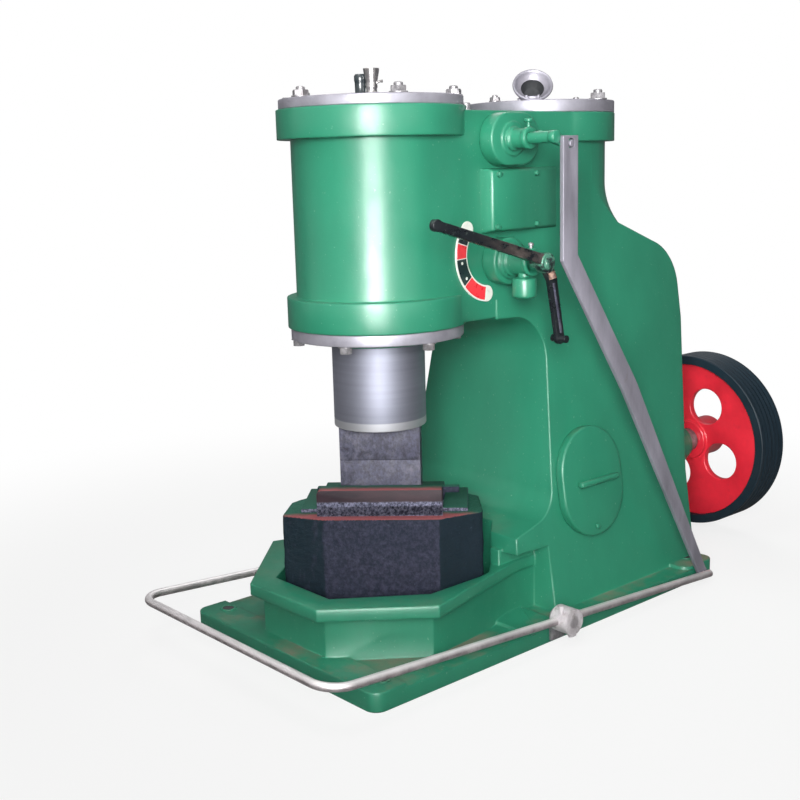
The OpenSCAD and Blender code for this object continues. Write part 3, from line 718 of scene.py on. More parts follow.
def finish_hub(looks):
    """Black casting with green overspray on its face."""
    f = Finish("oversprayed_black", Metallic=0.2)
    spray = f.ramp(f.noise(60, 5, 0.65), 0.46, 0.56)
    colour = f.mix(spray, looks.black, (0.07, 0.22, 0.15))
    colour = f.spots(colour, f.noise(95, 4, 0.6), 0.60, 0.68, 0.5, (0.34, 0.30, 0.27))
    return f.skin(colour, f.ramp(spray, 0.0, 1.0, 0.30, 0.45), f.noise(120, 4, 0.6), 0.0008)


def finish_rusty_bolt(looks):
    """Brown rusted fastener."""
    f = Finish("rusted_fastener", Metallic=0.1)
    fine = f.noise(150, 6, 0.7)
    colour = f.blend(fine, 0.35, 0.68, (0.10, 0.050, 0.035), (0.36, 0.22, 0.16))
    return f.skin(colour, f.ramp(fine, 0.3, 0.7, 0.6, 0.8), fine, 0.0008, 0.8)


def finish_red(looks):
    """Gloss red paint on the wheel's web."""
    f = Finish("red_enamel", Coat_Weight=0.3, Coat_Roughness=0.1)
    drift = f.ramp(f.noise(9, 4, 0.6), 0.35, 0.7)
    colour = f.mix(drift, *shades(looks.red, 0.82, 1.10))
    colour = f.spots(colour, f.noise(30, 6, 0.7), 0.58, 0.80, 0.35, (0.20, 0.02, 0.03))
    return f.skin(colour, f.ramp(drift, 0.0, 1.0, 0.30, 0.42), f.noise(150, 3, 0.6), 0.0003, 0.5)


def finish_rim(looks):
    """Blue-black belt rim, polished in streaks by the belts."""
    f = Finish("belt_rim_skin", Specular_IOR_Level=0.3)
    colour = f.blend(f.noise(1, 5, 0.6, (6, 260, 6)), 0.35, 0.7, *shades(looks.rim, 1.0, 1.7))
    rough = f.ramp(f.noise(40, 5, 0.6), 0.3, 0.7, 0.45, 0.62)
    return f.skin(colour, rough, f.noise(110, 4, 0.6), 0.0006, 0.5)


def finish_dark(looks):
    """Painted shade: near-black for the inside of a bore or hole, and for the pad on the front cover."""
    f = Finish("bore_dark", Metallic=0.0)
    colour = f.mix(f.noise(80, 4, 0.6), (0.010, 0.012, 0.014), (0.035, 0.037, 0.040))
    return f.skin(colour, f.ramp(f.noise(50, 3, 0.5), 0.3, 0.7, 0.6, 0.8))


# ---------------------------------------------------------------- settings


def colour_setting(name, description, default):
    """A colour that a user may change."""
    return bpy.props.FloatVectorProperty(
        name=name, description=description, subtype="COLOR", size=3, min=0, max=1, default=default
    )


def length_setting(name, description, default):
    """A length that a user may change."""
    return bpy.props.FloatProperty(
        name=name, description=description, default=default, min=0,
        unit="LENGTH", subtype="DISTANCE",
    )


def power_setting(name, description, default):
    """The power of a light."""
    return bpy.props.FloatProperty(
        name=name, description=description, default=default, min=0, unit="POWER"
    )


class HammerLooks(bpy.types.PropertyGroup):
    """Colours of the paints and bare metals"""

    green: colour_setting("Green", "Enamel of the castings", (0.023, 0.222, 0.127))
    green_deep: colour_setting("Deep green", "Enamel where it lies thick", (0.010, 0.118, 0.070))
    dust: colour_setting("Dust", "Dust on level faces", (0.235, 0.190, 0.140))
    silver: colour_setting("Aluminium paint", "Covers, ring and elbow", (0.32, 0.31, 0.355))
    die: colour_setting("Die steel", "Both dies", (0.062, 0.062, 0.097))
    rust_dark: colour_setting("Dark rust", "Upper band of the sow block", (0.016, 0.008, 0.013))
    rust_top: colour_setting("Rusty top", "Top of anvil and sow block", (0.285, 0.085, 0.090))
    anvil: colour_setting("Anvil", "Rough black casting", (0.006, 0.015, 0.022))
    bar: colour_setting("Flat bar", "Bare link bar", (0.300, 0.287, 0.338))
    treadle: colour_setting("Round bar", "Bare treadle bar", (0.42, 0.375, 0.385))
    black: colour_setting("Black", "Levers and their hub", (0.008, 0.011, 0.014))
    red: colour_setting("Red", "Web of the belt wheel", (0.84, 0.022, 0.045))
    rim: colour_setting("Rim", "Belt rim", (0.005, 0.014, 0.022))


class HammerSizes(bpy.types.PropertyGroup):
    """Sizes of the dressing on the castings"""

    casting_edge: length_setting("Casting edge", "Radius on the edges of the main casting", 0.0016)
    turned_edge: length_setting("Turned edge", "Radius on the edges of covers and rings", 0.0025)
    cover_nut: length_setting("Cover nut", "Width over flats of the nuts on the covers", 0.029)
    ring_bolt: length_setting("Ring bolt", "Width over flats of the bolts under the ring", 0.024)
    small_bolt: length_setting("Small bolt", "Width over flats of the small bolts", 0.010)


class HammerStage(bpy.types.PropertyGroup):
    """Floor and lights"""

    floor: colour_setting("Floor", "Colour of the floor", (0.80, 0.80, 0.79))
    key: power_setting("Key light", "Power of the large soft light", 18.5)
    top: power_setting("Top light", "Power of the light above", 26)
    strip: power_setting("Strip light", "Power of the tall narrow light, for gloss alone", 120)
    side: power_setting("Side light", "Power of the light on the right", 7)
    rear: power_setting("Rear light", "Power of the light behind", 45)
    ambient: bpy.props.FloatProperty(
        name="Ambient", description="Even light from all round", default=0.22, min=0
    )


# ---------------------------------------------------------------- pieces


class HAMMER_OT_stage(bpy.types.Operator):
    """Floor, backdrop, lights and camera"""

    bl_idname = "hammer.stage"
    bl_label = "Stage"

    MIDDLE = (0.0, 0.25, 0.62)
    # Name, target in metres, azimuth, elevation, distance in metres and size of each light.
    LIGHTS = (
        ("key", (0.24, 0.25, 0.92), 41, 10, 2.75, (1.0, 1.2)),
        ("top", MIDDLE, 20, 62, 3.0, (1.6, 1.6)),
        ("rear", MIDDLE, 215, 35, 4.0, (2.0, 2.0)),
        ("side", MIDDLE, 88, 15, 3.2, (1.2, 1.5)),
        ("strip", (0, 0, 0.72), 50, 3, 2.7, (1.15, 1.8)),
    )
    KEY_SPREAD = 62
    LENS, SENSOR = 53.01, 36
    CAMERA_PLACE = (1.93965, -1.64451, 1.03478)  # metres
    CAMERA_AZIMUTH, CAMERA_TILT, CAMERA_ROLL = 48.71, 11.25, -1.55

    def execute(self, context):
        stage = context.scene.hammer_stage
        self.backdrop(context, stage)
        self.floor(stage)
        for name, target, azimuth, elevation, distance, spans in self.LIGHTS:
            self.lamp(context, name + "_light", Vector(target), towards(azimuth, elevation),
                      distance, spans, getattr(stage, name))
        bpy.data.lights["key_light"].spread = math.radians(self.KEY_SPREAD)
        bpy.data.objects["strip_light"].visible_diffuse = False
        self.dark_card()
        self.camera(context)
        context.scene.view_settings.view_transform = "Standard"
        return {"FINISHED"}

    def backdrop(self, context, stage):
        """Even light from all round, and white for what the camera, a reflection or glass sees."""
        world = context.scene.world or bpy.data.worlds.new("studio")
        context.scene.world = world
        n = Nodes(world, clear=True)
        ray = n.node("LightPath").outputs
        seen = n.combine("MAXIMUM", ray["Is Camera Ray"], ray["Is Glossy Ray"])
        seen = n.combine("MAXIMUM", seen, ray["Is Transmission Ray"])
        strength = n.ramp(seen, 0.0, 1.0, stage.ambient, 1.0)
        back = n.node("Background", {"Color": (1, 1, 1), "Strength": strength})
        n.node("OutputWorld", {0: back.outputs[0]})

    def floor(self, stage):
        """A pale floor that keeps the shadow and fades into the backdrop further out."""
        centre = (0, 0.25, 0)
        n = Nodes(bpy.data.materials.new("studio_floor"), clear=True)
        camera_ray = n.node("LightPath").outputs["Is Camera Ray"]
        where = n.node("TexCoord").outputs["Object"]
        reach = n.node("VectorMath", {0: where, 1: centre}, operation="DISTANCE")
        start, end = 0.9, 2.3
        fade = n.ramp(reach.outputs["Value"], start, end, 0.80, 1.0,
                      interpolation_type="SMOOTHSTEP")
        grain = n.node("TexNoise", {"Scale": 30}).outputs["Fac"]
        tint = n.mix(grain, *shades(stage.floor, 0.985, 1.0))
        tint = n.mix(1.0, tint, n.ramp(camera_ray, 0.0, 1.0, 0.35, 1.0), "MULTIPLY")
        matt = n.node("BsdfDiffuse", {"Color": tint}).outputs[0]
        glow = n.node("Emission").outputs[0]
        both = n.node("MixShader", {0: n.times(fade, camera_ray), 1: matt, 2: glow})
        n.node("OutputMaterial", {0: both.outputs[0]})
        bm = bmesh.new()
        rings = [(radius / MM, 0) for radius in (0, 0.4, 0.9, 1.6, 2.6, 5.0, 14.0)]
        lathe(bm, rings, Matrix.Translation(centre), 64)
        floor = new_object("floor", bm)
        floor.data.materials.append(n.owner)
        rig.stage(floor)

    def lamp(self, context, name, target, back, distance, spans, power):
        """A rectangular light that looks at the target from a distance."""
        data = bpy.data.lights.new(name, "AREA")
        data.shape, data.size, data.size_y = "RECTANGLE", *spans
        data.energy = power
        lamp = bpy.data.objects.new(name, data)
        lamp.location = target + back * distance
        lamp.rotation_euler = back.to_track_quat("Z", "Y").to_euler()
        lamp.visible_camera = False
        context.scene.collection.objects.link(lamp)

    def dark_card(self):
        """A dark card behind the object that only reflections show, to model the rounded sides."""
        radius, first, last, steps = 2.2, -52, -250, 32
        turns = [math.radians(first + (last - first) * i / steps) for i in range(steps + 1)]
        bm = bmesh.new()
        rows = [
            [bm.verts.new((radius * math.sin(a), 0.1 - radius * math.cos(a), z)) for a in turns]
            for z in (0.02, 2.3)
        ]
        loop_faces(bm, rows, close=False)
        card = new_object("dark_card", bm)
        card.visible_camera = card.visible_diffuse = card.visible_shadow = False
        n = Nodes(bpy.data.materials.new("card_grey"), clear=True)
        n.node("OutputMaterial", {0: n.node("Emission", {"Color": (0.15, 0.15, 0.16)}).outputs[0]})
        card.data.materials.append(n.owner)
        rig.stage(card)

    def camera(self, context):
        """Looks down a little at the corner between the work side and the lever side."""
        data = bpy.data.cameras.new("camera")
        data.lens, data.sensor_width = self.LENS, self.SENSOR
        camera = bpy.data.objects.new("camera", data)
        roll = math.radians(self.CAMERA_ROLL)
        back = towards(self.CAMERA_AZIMUTH, self.CAMERA_TILT)
        level = (-back).cross(Vector(UP)).normalized()
        upright = level.cross(-back)
        right = level * math.cos(roll) + upright * math.sin(roll)
        up = upright * math.cos(roll) - level * math.sin(roll)
        rows = [(right[i], up[i], back[i], self.CAMERA_PLACE[i]) for i in range(3)]
        camera.matrix_world = Matrix(rows + [(0, 0, 0, 1)])
        context.scene.collection.objects.link(camera)
        context.scene.camera = camera


class HAMMER_OT_casting(bpy.types.Operator):
    """Main casting: base, anvil housing, column and both cylinders, with its base bolt holes"""

    bl_idname = "hammer.casting"
    bl_label = "Main casting"

    # The ledge above each pocket, in metres: its front end, its rear end, and the wall beside it.
    FRONT_Y, FRONT_LOW, FRONT_HIGH = 0.2, 0.699, 0.746
    REAR_Y, REAR_Z, REAR_X = 0.529, 0.745, 0.158
    WALL = 0.16493
    NEAR, STEP = 1e-4, 0.01

    def execute(self, context):
        bm = rounded("frame_casting", size("casting_edge"), 3, clamp=False, change=self.blend_ledge)
        casting("main_casting", bm, "frame_casting")
        holes = bmesh.new()
        for x, y in ((-272, -248), (272, -248), (-268, 776), (268, 776)):
            m = at((x, y, foot_of("anvil")))
            disc(holes, 19, -1, 1.6, m, 1.2, 32, 13)
            # Painted shade: a near-black disc closes each hole just below its rim.
            lathe(holes, [(13.2, 0.5), (0, 0.5)], m, 32, second=True)
        piece("base_bolt_holes", holes, "green dark", "green_paint")
        return {"FINISHED"}

    def blend_ledge(self, bm):
        """Runs the ledge above each pocket into the wall, so that neither end is a step."""
        for v in bm.verts:
            x, y, z = v.co
            if abs(y - self.FRONT_Y) < self.NEAR and self.FRONT_LOW < z < self.FRONT_HIGH:
                v.co.x = max(-self.WALL, min(self.WALL, x))
            at_rear = abs(y - self.REAR_Y) < self.NEAR and abs(z - self.REAR_Z) < self.NEAR
            if at_rear and abs(x) < self.REAR_X:
                joined = [e.other_vert(v) for e in v.link_edges]
                above = [other for other in joined if other.co.z > z + self.STEP]
                if above:
                    v.co = above[0].co
        bmesh.ops.remove_doubles(bm, verts=bm.verts, dist=SAME_PLACE)


class HAMMER_OT_cylinder_heads(bpy.types.Operator):
    """Covers of both cylinders, the ring and gland under the front one, and their fasteners"""

    bl_idname = "hammer.cylinder_heads"
    bl_label = "Cylinder heads"

    # Name, cover, radius of the ring of nuts, and the angle and size of each nut that shows.
    COVER_NUTS = (
        ("front_cover_nuts", "cylinder_cover", 174,
         ((-22, 1), (50, 1), (122, 1), (194, 1), (266, 1))),
        ("rear_cover_nuts", "compressor_cover", 155,
         ((-90, 0.72), (10, 1.1), (97, 0.8), (178, 0.72))),
    )

    def execute(self, context):
        edge = size("turned_edge")
        for node in ("cylinder_cover", "compressor_cover", "lower_ring"):
            dressed(node + "_turned", node, edge, 3, "silver", "machined_cover")
        dressed("ram_gland_turned", "ram_gland", edge, 2, "green", "green_paint")
        for name, node, ring, places in self.COVER_NUTS:
            bm = bmesh.new()
            for degrees, share in places:
                place = (*on_circle(middle_of(node), ring, degrees), top_of(node))
                stud_nut(bm, place, size("cover_nut"), share, 0.4 + 1.3 * math.radians(degrees))
            piece(name, bm, "zinc", "machined_cover")
        bm = bmesh.new()
        for i in range(6):
            place = (*on_circle((0, 0), 172, 60 * i - 3), foot_of("lower_ring"))
            hex_bolt(bm, place, DOWN, size("ring_bolt"), 13, 16, 0.3 + i)
        piece("ring_bolts", bm, "zinc", "machined_cover")
        self.joint_lugs()
        return {"FINISHED"}

    def joint_lugs(self):
        """A small lug where the covers meet, and a near-black pad on the front cover's left rim, which is painted
        shade.
        """
        bm = bmesh.new()
        disc(bm, 10, -26, 0.5, at((-40, 320, top_of("compressor_cover"))), 3, 32)
        piece("cover_lugs", bm, "zinc", "machined_cover")
        z = top_of("cylinder_cover")
        bm = bmesh.new()
        # Painted shade: this near-black pad darkens the left of the front cover's rim.
        prism(bm, arc((0, 0), 190, 205, 222, 6) + arc((0, 0), 166, 222, 205, 6), z, z + 7, 3)
        piece("cover_pad", bm, "dark", "machined_cover")


class HAMMER_OT_ram(bpy.types.Operator):
    """Ram and upper die"""

    bl_idname = "hammer.ram"
    bl_label = "Ram and upper die"

    def execute(self, context):
        low, high = node_box("ram")
        radius = (high.x - low.x) / 2
        rise = high.z - low.z - 6
        profile = [(0, 0), (radius - 3, 0), (radius - 0.8, 1.2), (radius, 3.5)]
        profile += [(radius, 3.5 + rise * i / 6) for i in range(1, 7)]
        profile += [(radius - 2.5, high.z - low.z), (0, high.z - low.z)]
        bm = bmesh.new()
        lathe(bm, profile, Matrix.Translation(mm(0, 0, low.z)), 128)
        piece("ram_turned", bm, "ram", "polished_ram", "ram", body="ram_body")
        dressed("upper_die_dressed", "upper_die", 0.6, 2, "die", "forged_steel", body="ram_body")
        return {"FINISHED"}


class HAMMER_OT_anvil(bpy.types.Operator):
    """Anvil block, sow block, lower die and its key"""

    bl_idname = "hammer.anvil"
    bl_label = "Anvil and lower die"

    # The anvil's skin: size of the grid it is remade on, depth and scale of its hollows, and how
    # much flatter its level faces are.
    GRID, HOLLOWS, HOLLOW_SCALE, FLATTER = 4.5, 2.6, 26, 0.9
    # How the finer hollows fade, how much finer each layer is, and the number of layers.
    HOLLOW_LAYERS = (0.8, 2.2, 5)

    def execute(self, context):
        piece("anvil_rough", self.rough_cast("anvil"), "anvil", "black_casting", "anvil", smooth=60)
        self.sow_block()
        dressed("lower_die_dressed", "lower_die", 0.6, 2, "die", "forged_steel")
        self.key()
        return {"FINISHED"}

    def rough_cast(self, node):
        """A copy of a node remade on a fine grid, then sunk here and there."""
        source = bpy.data.objects.new("rough", frame["nodes"][node].data.copy())
        bpy.context.scene.collection.objects.link(source)
        grid = source.modifiers.new("grid", "REMESH")
        grid.mode, grid.voxel_size = "VOXEL", self.GRID * MM
        bpy.context.view_layer.update()
        shown = source.evaluated_get(bpy.context.evaluated_depsgraph_get())
        mesh = bpy.data.meshes.new_from_object(shown)
        bpy.data.objects.remove(source)
        bm = bmesh.new()
        bm.from_mesh(mesh)
        bpy.data.meshes.remove(mesh)
        bm.normal_update()
        places = []
        for v in bm.verts:
            hollow = noise.fractal(v.co * self.HOLLOW_SCALE, *self.HOLLOW_LAYERS)
            share = 0.5 + 0.5 * max(-1.0, min(1.0, hollow))
            level = max(0.0, min(1.0, (abs(v.normal.z) - 0.6) / 0.3))
            sunk = self.HOLLOWS * MM * share * (1 - self.FLATTER * level)
            places.append(v.co - v.normal * sunk)
        for v, place in zip(bm.verts, places):
            v.co = place
        return bm

    def key(self):
        """Taper key beside the lower die, cut away under its protruding end."""
        low, high = node_box("die_key")
        start, mouth, end = -138, 138, 172
        under = low.z + 17
        outline = [(start, low.z), (mouth, low.z), (mouth + 4, under), (end, under)]
        outline += [(end, high.z), (start, high.z)]
        bm = bmesh.new()
        prism(bm, outline, 45, 61, 1.5, DIE_TURN @ SIDEWAYS)
        piece("die_key_dressed", bm, "anvil", "bare_bar", "die_key")

    def sow_block(self):
        """Block with a raised front lip whose left end is rounded over."""
        bed, seat, high = top_of("anvil"), foot_of("lower_die"), top_of("sow_block")
        half, depth, lip, ear, corner = 136, 98, 37, 190, 11
        bm = bmesh.new()
        prism(bm, rectangle(-depth, -half, depth, half), bed, seat, 2, DIE_TURN)
        outline = [(-half, bed), (half, bed)] + arc((half - 4, high - 4), 4, 0, 90, 3)
        outline += arc((corner - half, high - corner), corner, 90, 180, 6)
        prism(bm, outline, depth - lip, depth, 2.5, DIE_TURN @ SIDEWAYS)
        prism(bm, rectangle(-depth, 15 - ear, depth - 30, ear), bed, bed + 9, 2, DIE_TURN)
        piece("sow_block_dressed", bm, "sow", "rusty_steel", "sow_block")


class HAMMER_OT_intake(bpy.types.Operator):
    """Intake elbow on the rear cover"""

    bl_idname = "hammer.intake"
    bl_label = "Intake elbow"

    PLACE = (-13, 516)
    LIP = ((0, -30), (18, -28), (27, -20), (31, -10), (34, 0), (38, 4), (44, 6.5), (47, 9),
           (48, 12), (47, 15), (44.5, 16), (42, 15), (40, 12), (37, 8), (32, 4), (27.5, 1))
    HOLLOW = ((27.5, 1), (25, -8), (18, -18), (0, -22))

    def execute(self, context):
        x, y = self.PLACE
        base = top_of("compressor_cover")
        mouth = at((x + 4, y - 4, base + 33), towards(47, 38))
        bm = bmesh.new()
        disc(bm, 36, base, base + 6, at((x, y, 0)), 1.5, 48)
        disc(bm, 28, base + 5, base + 16, at((x, y, 0)), 2, 48)
        lathe(bm, self.LIP, mouth, 64)
        # Painted shade: the mouth's hollow is closed by a near-black cup.
        lathe(bm, self.HOLLOW, mouth, 64, second=True)
        for degrees in (-75, -20, 110, 200):
            place = (*on_circle(self.PLACE, 31, degrees), base + 6)
            nut(bm, 12, 0, 8, at(place, turn=degrees))  # any turn, but a different one for each
            lathe(bm, [(0, 7), (3, 7), (3, 12), (0, 12)], at(place), 12)
        piece("intake_elbow_cast", bm, "silver dark", "machined_cover", "intake_elbow")
        return {"FINISHED"}


class HAMMER_OT_air_cock(bpy.types.Operator):
    """Air cock and its filling cup on the front cover"""

    bl_idname = "hammer.air_cock"
    bl_label = "Air cock"

    STEM = ((0, 4), (13.5, 4), (13, 9), (11, 12), (11.5, 32), (12.5, 36), (12.5, 45), (10, 49),
            (0, 49))
    CUP = ((0, 0), (13, 0), (13.5, 4), (11.5, 7), (11, 12), (12.5, 15), (12.5, 19), (11.6, 21),
           (12.6, 27), (14.4, 37), (16.2, 47), (17, 53), (16.4, 54), (15.2, 52.5), (13, 44),
           (9, 32), (0, 28))

    def execute(self, context):
        base = top_of("cylinder_cover")
        bm = bmesh.new()
        disc(bm, 37, base, base + 5, at((-7, -9, 0)), 1.2, 40)
        disc(bm, 15, base + 4, base + 11, at((4, 0, 0)), 2, 32)
        for degrees in (20, 140, 255):
            nut(bm, 9, base + 5, base + 11, at((*on_circle((-7, -9), 28, degrees), 0)))
        lathe(bm, self.STEM, at((-15, -15, base)), 28, second=True)
        piece("air_cock_dressed", bm, "silver plate_black", "green_paint", "air_cock_body")
        base = foot_of("air_cock_funnel")
        cup = bmesh.new()
        lathe(cup, self.CUP, at((4, 0, base)), 40)
        spout = [(15, 4, base + 24), (20, 9, base + 27), (25, 12, base + 27)]
        tube(cup, spout, [2.4, 2.2, 3.2], 12)
        piece("air_cock_cup", cup, "chrome", "plain_steel", "air_cock_funnel")
        return {"FINISHED"}


class HAMMER_OT_upper_valve(bpy.types.Operator):
    """Upper valve: boss, sleeve with its clamp bolt, shaft and crank"""

    bl_idname = "hammer.upper_valve"
    bl_label = "Upper valve"

    def execute(self, context):
        y, z = UPPER_VALVE
        end = end_of("upper_valve_boss")
        bm = rounded("upper_valve_boss", 3.5, 3)
        disc(bm, 36, 202, 207, crosswise(y + 2, z), 2, 64)
        disc(bm, 25, 205, 214, crosswise(y, z), 3, 48)
        disc(bm, 22.5, end - 12, end, crosswise(y, z), 1.5, 48, 12.6)
        casting("upper_valve_boss_dressed", bm, "upper_valve_boss")
        bm = bmesh.new()
        bolt = [(0, 0), (5, 0), (4.2, 3), (4.2, 13), (9, 15), (9.4, 18), (8, 20.5), (0, 21)]
        lathe(bm, bolt, at((249, y, z + 19)), 20)
        stub = [(0, 0), (6, 0), (6, 9), (4, 11), (0, 11)]
        lathe(bm, stub, at((258, y + 18, z + 8), (0.5, 1, 0.2)), 18)
        casting("upper_clamp_bolt", bm)
        dressed("upper_valve_rod", "upper_valve_shaft", 1.5, 2, "green", "plain_steel",
                "upper_valve")
        self.crank()
        return {"FINISHED"}

    def crank(self):
        """Slim arm from the shaft's end to the pin in the link bar."""
        end = end_of("upper_valve_crank")
        (y, z), (pin_y, pin_z) = UPPER_VALVE, CRANK_PIN
        lean = math.degrees(math.atan2(pin_z - z, pin_y - y))
        outline = arc(UPPER_VALVE, 13, lean + 90, lean + 270, 14)
        outline += arc(CRANK_PIN, 8, lean - 90, lean + 90, 14)
        bm = bmesh.new()
        prism(bm, outline, end - 33, end - 20, 1.5, SIDEWAYS)
        disc(bm, 13, end - 35, end - 17, crosswise(*UPPER_VALVE), 2, 40)
        piece("upper_crank_arm", bm, "green", "bare_bar", "upper_valve_crank", body="upper_valve")
        bm = bmesh.new()
        disc(bm, 7, end - 22, end - 5, crosswise(*CRANK_PIN), 2, 32)
        piece("upper_crank_pin", bm, "bar", "bare_bar", body="upper_valve")


class HAMMER_OT_valve_chest(bpy.types.Operator):
    """Cover of the valve chest between the two valves"""

    bl_idname = "hammer.valve_chest"
    bl_label = "Valve chest cover"

    # How far it stands out of the wall, how far it is sunk in it, and the radius of its edges.
    OUT, SUNK, ROUND = 31, -14, 8
    # It is level up to the first depth and has sloped back into the wall at the second.
    LEVEL, END = 272, 405
    BOLTS = ((177, 1012), (308, 1012), (171, 902), (308, 902))

    def out(self, y):
        """How far the cover's middle part stands out of the wall."""
        return self.OUT if y < self.LEVEL else self.OUT * (self.END - y) / (self.END - self.LEVEL)

    def execute(self, context):
        low, high = node_box("valve_chest_cover")
        m = on_wall(low.y)
        turns = [math.radians(a) for a in range(0, 91, 15)]
        sections = [
            (self.OUT * math.sin(a), low.y + self.ROUND * (1 - math.cos(a))) for a in turns[1:]
        ]
        sections += [(self.out(y), y) for y in (self.LEVEL, self.END, self.END + 40)]
        bm = bmesh.new()
        rings = []
        for out, y in sections:
            edge = [(out * math.sin(a), self.ROUND * (1 - math.cos(a))) for a in turns]
            side = [(self.SUNK, low.z)] + [(x, low.z + dz) for x, dz in edge]
            side += [(x, high.z - dz) for x, dz in reversed(edge)] + [(self.SUNK, high.z)]
            rings.append([bm.verts.new(m @ mm(x, y, z)) for x, z in side])
        loop_faces(bm, rings, cap_low=True, cap_high=True)
        casting("valve_chest_dressed", bm, "valve_chest_cover")
        bm = bmesh.new()
        normal = m.to_3x3() @ Vector(OUTWARD)
        for y, z in self.BOLTS:
            place = m @ mm(self.out(y) - 1, y, z) / MM
            hex_bolt(bm, place, normal, size("small_bolt"), 6, 7, turn=y)  # any turn will do
        casting("valve_chest_bolts", bm)
        return {"FINISHED"}


class HAMMER_OT_lower_valve(bpy.types.Operator):
    """Lower valve: boss, sleeve, grease nipple, oil pot and control shaft"""

    bl_idname = "hammer.lower_valve"
    bl_label = "Lower valve"

    def execute(self, context):
        y, z = middle_of("control_shaft").yz
        end = end_of("lower_valve_boss")
        bm = rounded("lower_valve_boss", 3.5, 3)
        disc(bm, 38, 202, 209, crosswise(y, z), 2, 64)
        disc(bm, 29.5, end - 9, end, crosswise(y, z), 1.5, 48, 12.6)
        disc(bm, 32, 208, 216, crosswise(y, z), 2, 48)
        lathe(bm, [(0, -3), (7, -3), (7, 2), (0, 2)], at((262, y, z + 27)), 16)
        casting("lower_valve_boss_dressed", bm, "lower_valve_boss")
        bm = bmesh.new()
        nipple = [(0, 0), (3.4, 0), (3.4, 5), (5.6, 6.5), (5.8, 10), (4, 12.5), (0, 13.5)]
        lathe(bm, nipple, at((262, y, z + 28)), 18)
        piece("grease_nipple", bm, "zinc", "plain_steel")
        self.oil_pot(y)
        dressed("control_rod", "control_shaft", 1.5, 2, "hub", "plain_steel", body="lower_valve")
        return {"FINISHED"}

    def oil_pot(self, y):
        """Round pot under the valve, hung by a thinner neck."""
        low, high = node_box("oil_pot")
        radius, foot = (high.x - low.x) / 2, low.z + 5
        neck, rise = radius - 12, high.z - foot
        profile = [(0, 0), (radius - 9, 0), (radius - 7, 2), (radius - 3, 3), (radius - 0.5, 5)]
        profile += [(radius, 8), (radius, 40), (radius - 1.6, 43), (radius - 8, 45), (neck, 46)]
        profile += [(neck, rise - 3), (neck, rise), (0, rise)]
        bm = bmesh.new()
        lathe(bm, profile, at((middle_of("oil_pot").x, y, foot)), 48)
        casting("oil_pot_dressed", bm, "oil_pot")


class HAMMER_OT_levers(bpy.types.Operator):
    """Control lever, hanging lever and their hub"""

    bl_idname = "hammer.levers"
    bl_label = "Control levers"

    BODY, SLOT = "lower_valve", "black_lever"
    BOLT, BOLT_AXIS = (300, 224, 807), (0.35, 0.1, -1)

    def execute(self, context):
        y, z = middle_of("lever_hub").yz
        end = end_of("lever_hub")
        bm = rounded("lever_hub", 3, 3)
        disc(bm, 15, end - 1, end + 3, crosswise(y, z), 1.5, 32)
        piece("lever_hub_dressed", bm, "hub", self.SLOT, "lever_hub", body=self.BODY)
        for node, edge, segments in (("control_lever", 2.2, 3), ("hanging_lever", 1.8, 2)):
            dressed(node + "_dressed", node, edge, segments, "lever", self.SLOT, self.BODY)
        rib = bmesh.new()
        prism(rib, [(229, 785), (235, 785), (259, 676), (253, 676)], 299.5, 302.5, 1.2, SIDEWAYS)
        piece("hanging_lever_rib", rib, "die", self.SLOT, body=self.BODY)
        bolt = bmesh.new()
        hex_bolt(bolt, self.BOLT, self.BOLT_AXIS, 15, 12, 10, 0.5)
        lathe(bolt, [(0, -8), (5, -8), (5, 2), (0, 2)], at(self.BOLT, self.BOLT_AXIS), 16)
        piece("hub_bolt", bolt, "rusty_bolt", self.SLOT, body=self.BODY)
        return {"FINISHED"}


class HAMMER_OT_quadrant(bpy.types.Operator):
    """Quadrant plate: a cream border, red and black fields and small marks"""

    bl_idname = "hammer.quadrant"
    bl_label = "Quadrant plate"

    SLOT = "plate_enamel"
    CENTRE = (174, 845)
    INNER, MIDDLE, OUTER = 67, 84.5, 102
    HEAD, FOOT = 140, 266
    BORDER = 3.6
    FIELDS = (("black", ((146, 162.5), (184.5, 219.5))), ("red", ((163.8, 183.2), (220.8, 261.5))))

    def band(self, start, end):
        """Outline of a coloured field, inside the border."""
        outer, inner = self.OUTER - self.BORDER, self.INNER + self.BORDER
        return arc(self.CENTRE, outer, start, end, 24) + arc(self.CENTRE, inner, end, start, 24)

    def execute(self, context):
        m = on_wall(self.CENTRE[0]) @ SIDEWAYS
        half = self.OUTER - self.MIDDLE
        foot = on_circle(self.CENTRE, self.MIDDLE, self.FOOT)
        head = on_circle(self.CENTRE, self.MIDDLE, self.HEAD)
        outline = arc(self.CENTRE, self.OUTER, self.HEAD, self.FOOT, 48)
        outline += arc(foot, half, self.FOOT, self.FOOT + 180, 16)[1:-1]
        outline += arc(self.CENTRE, self.INNER, self.FOOT, self.HEAD, 48)
        outline += arc(head, half, self.HEAD - 180, self.HEAD, 16)[1:-1]
        plate = bmesh.new()
        prism(plate, outline, 0.1, 3.2, 0.5, m, 1)
        piece("quadrant_border", plate, "plate_cream", self.SLOT, "quadrant_plate")
        for name, spans in self.FIELDS:
            bm = bmesh.new()
            for start, end in spans:
                prism(bm, self.band(start, end), 3.0, 3.7, 0.2, m, 1)
            piece("quadrant_" + name, bm, "plate_" + name, self.SLOT)
        marks = bmesh.new()
        for degrees in (155, 190, 214):
            spot = on_circle(self.CENTRE, self.MIDDLE, degrees)
            disc(marks, 3.2, 3.5, 4.0, m @ Matrix.Translation(mm(*spot, 0)), 0.3, 16)
        piece("quadrant_marks", marks, "plate_cream", self.SLOT)
        return {"FINISHED"}


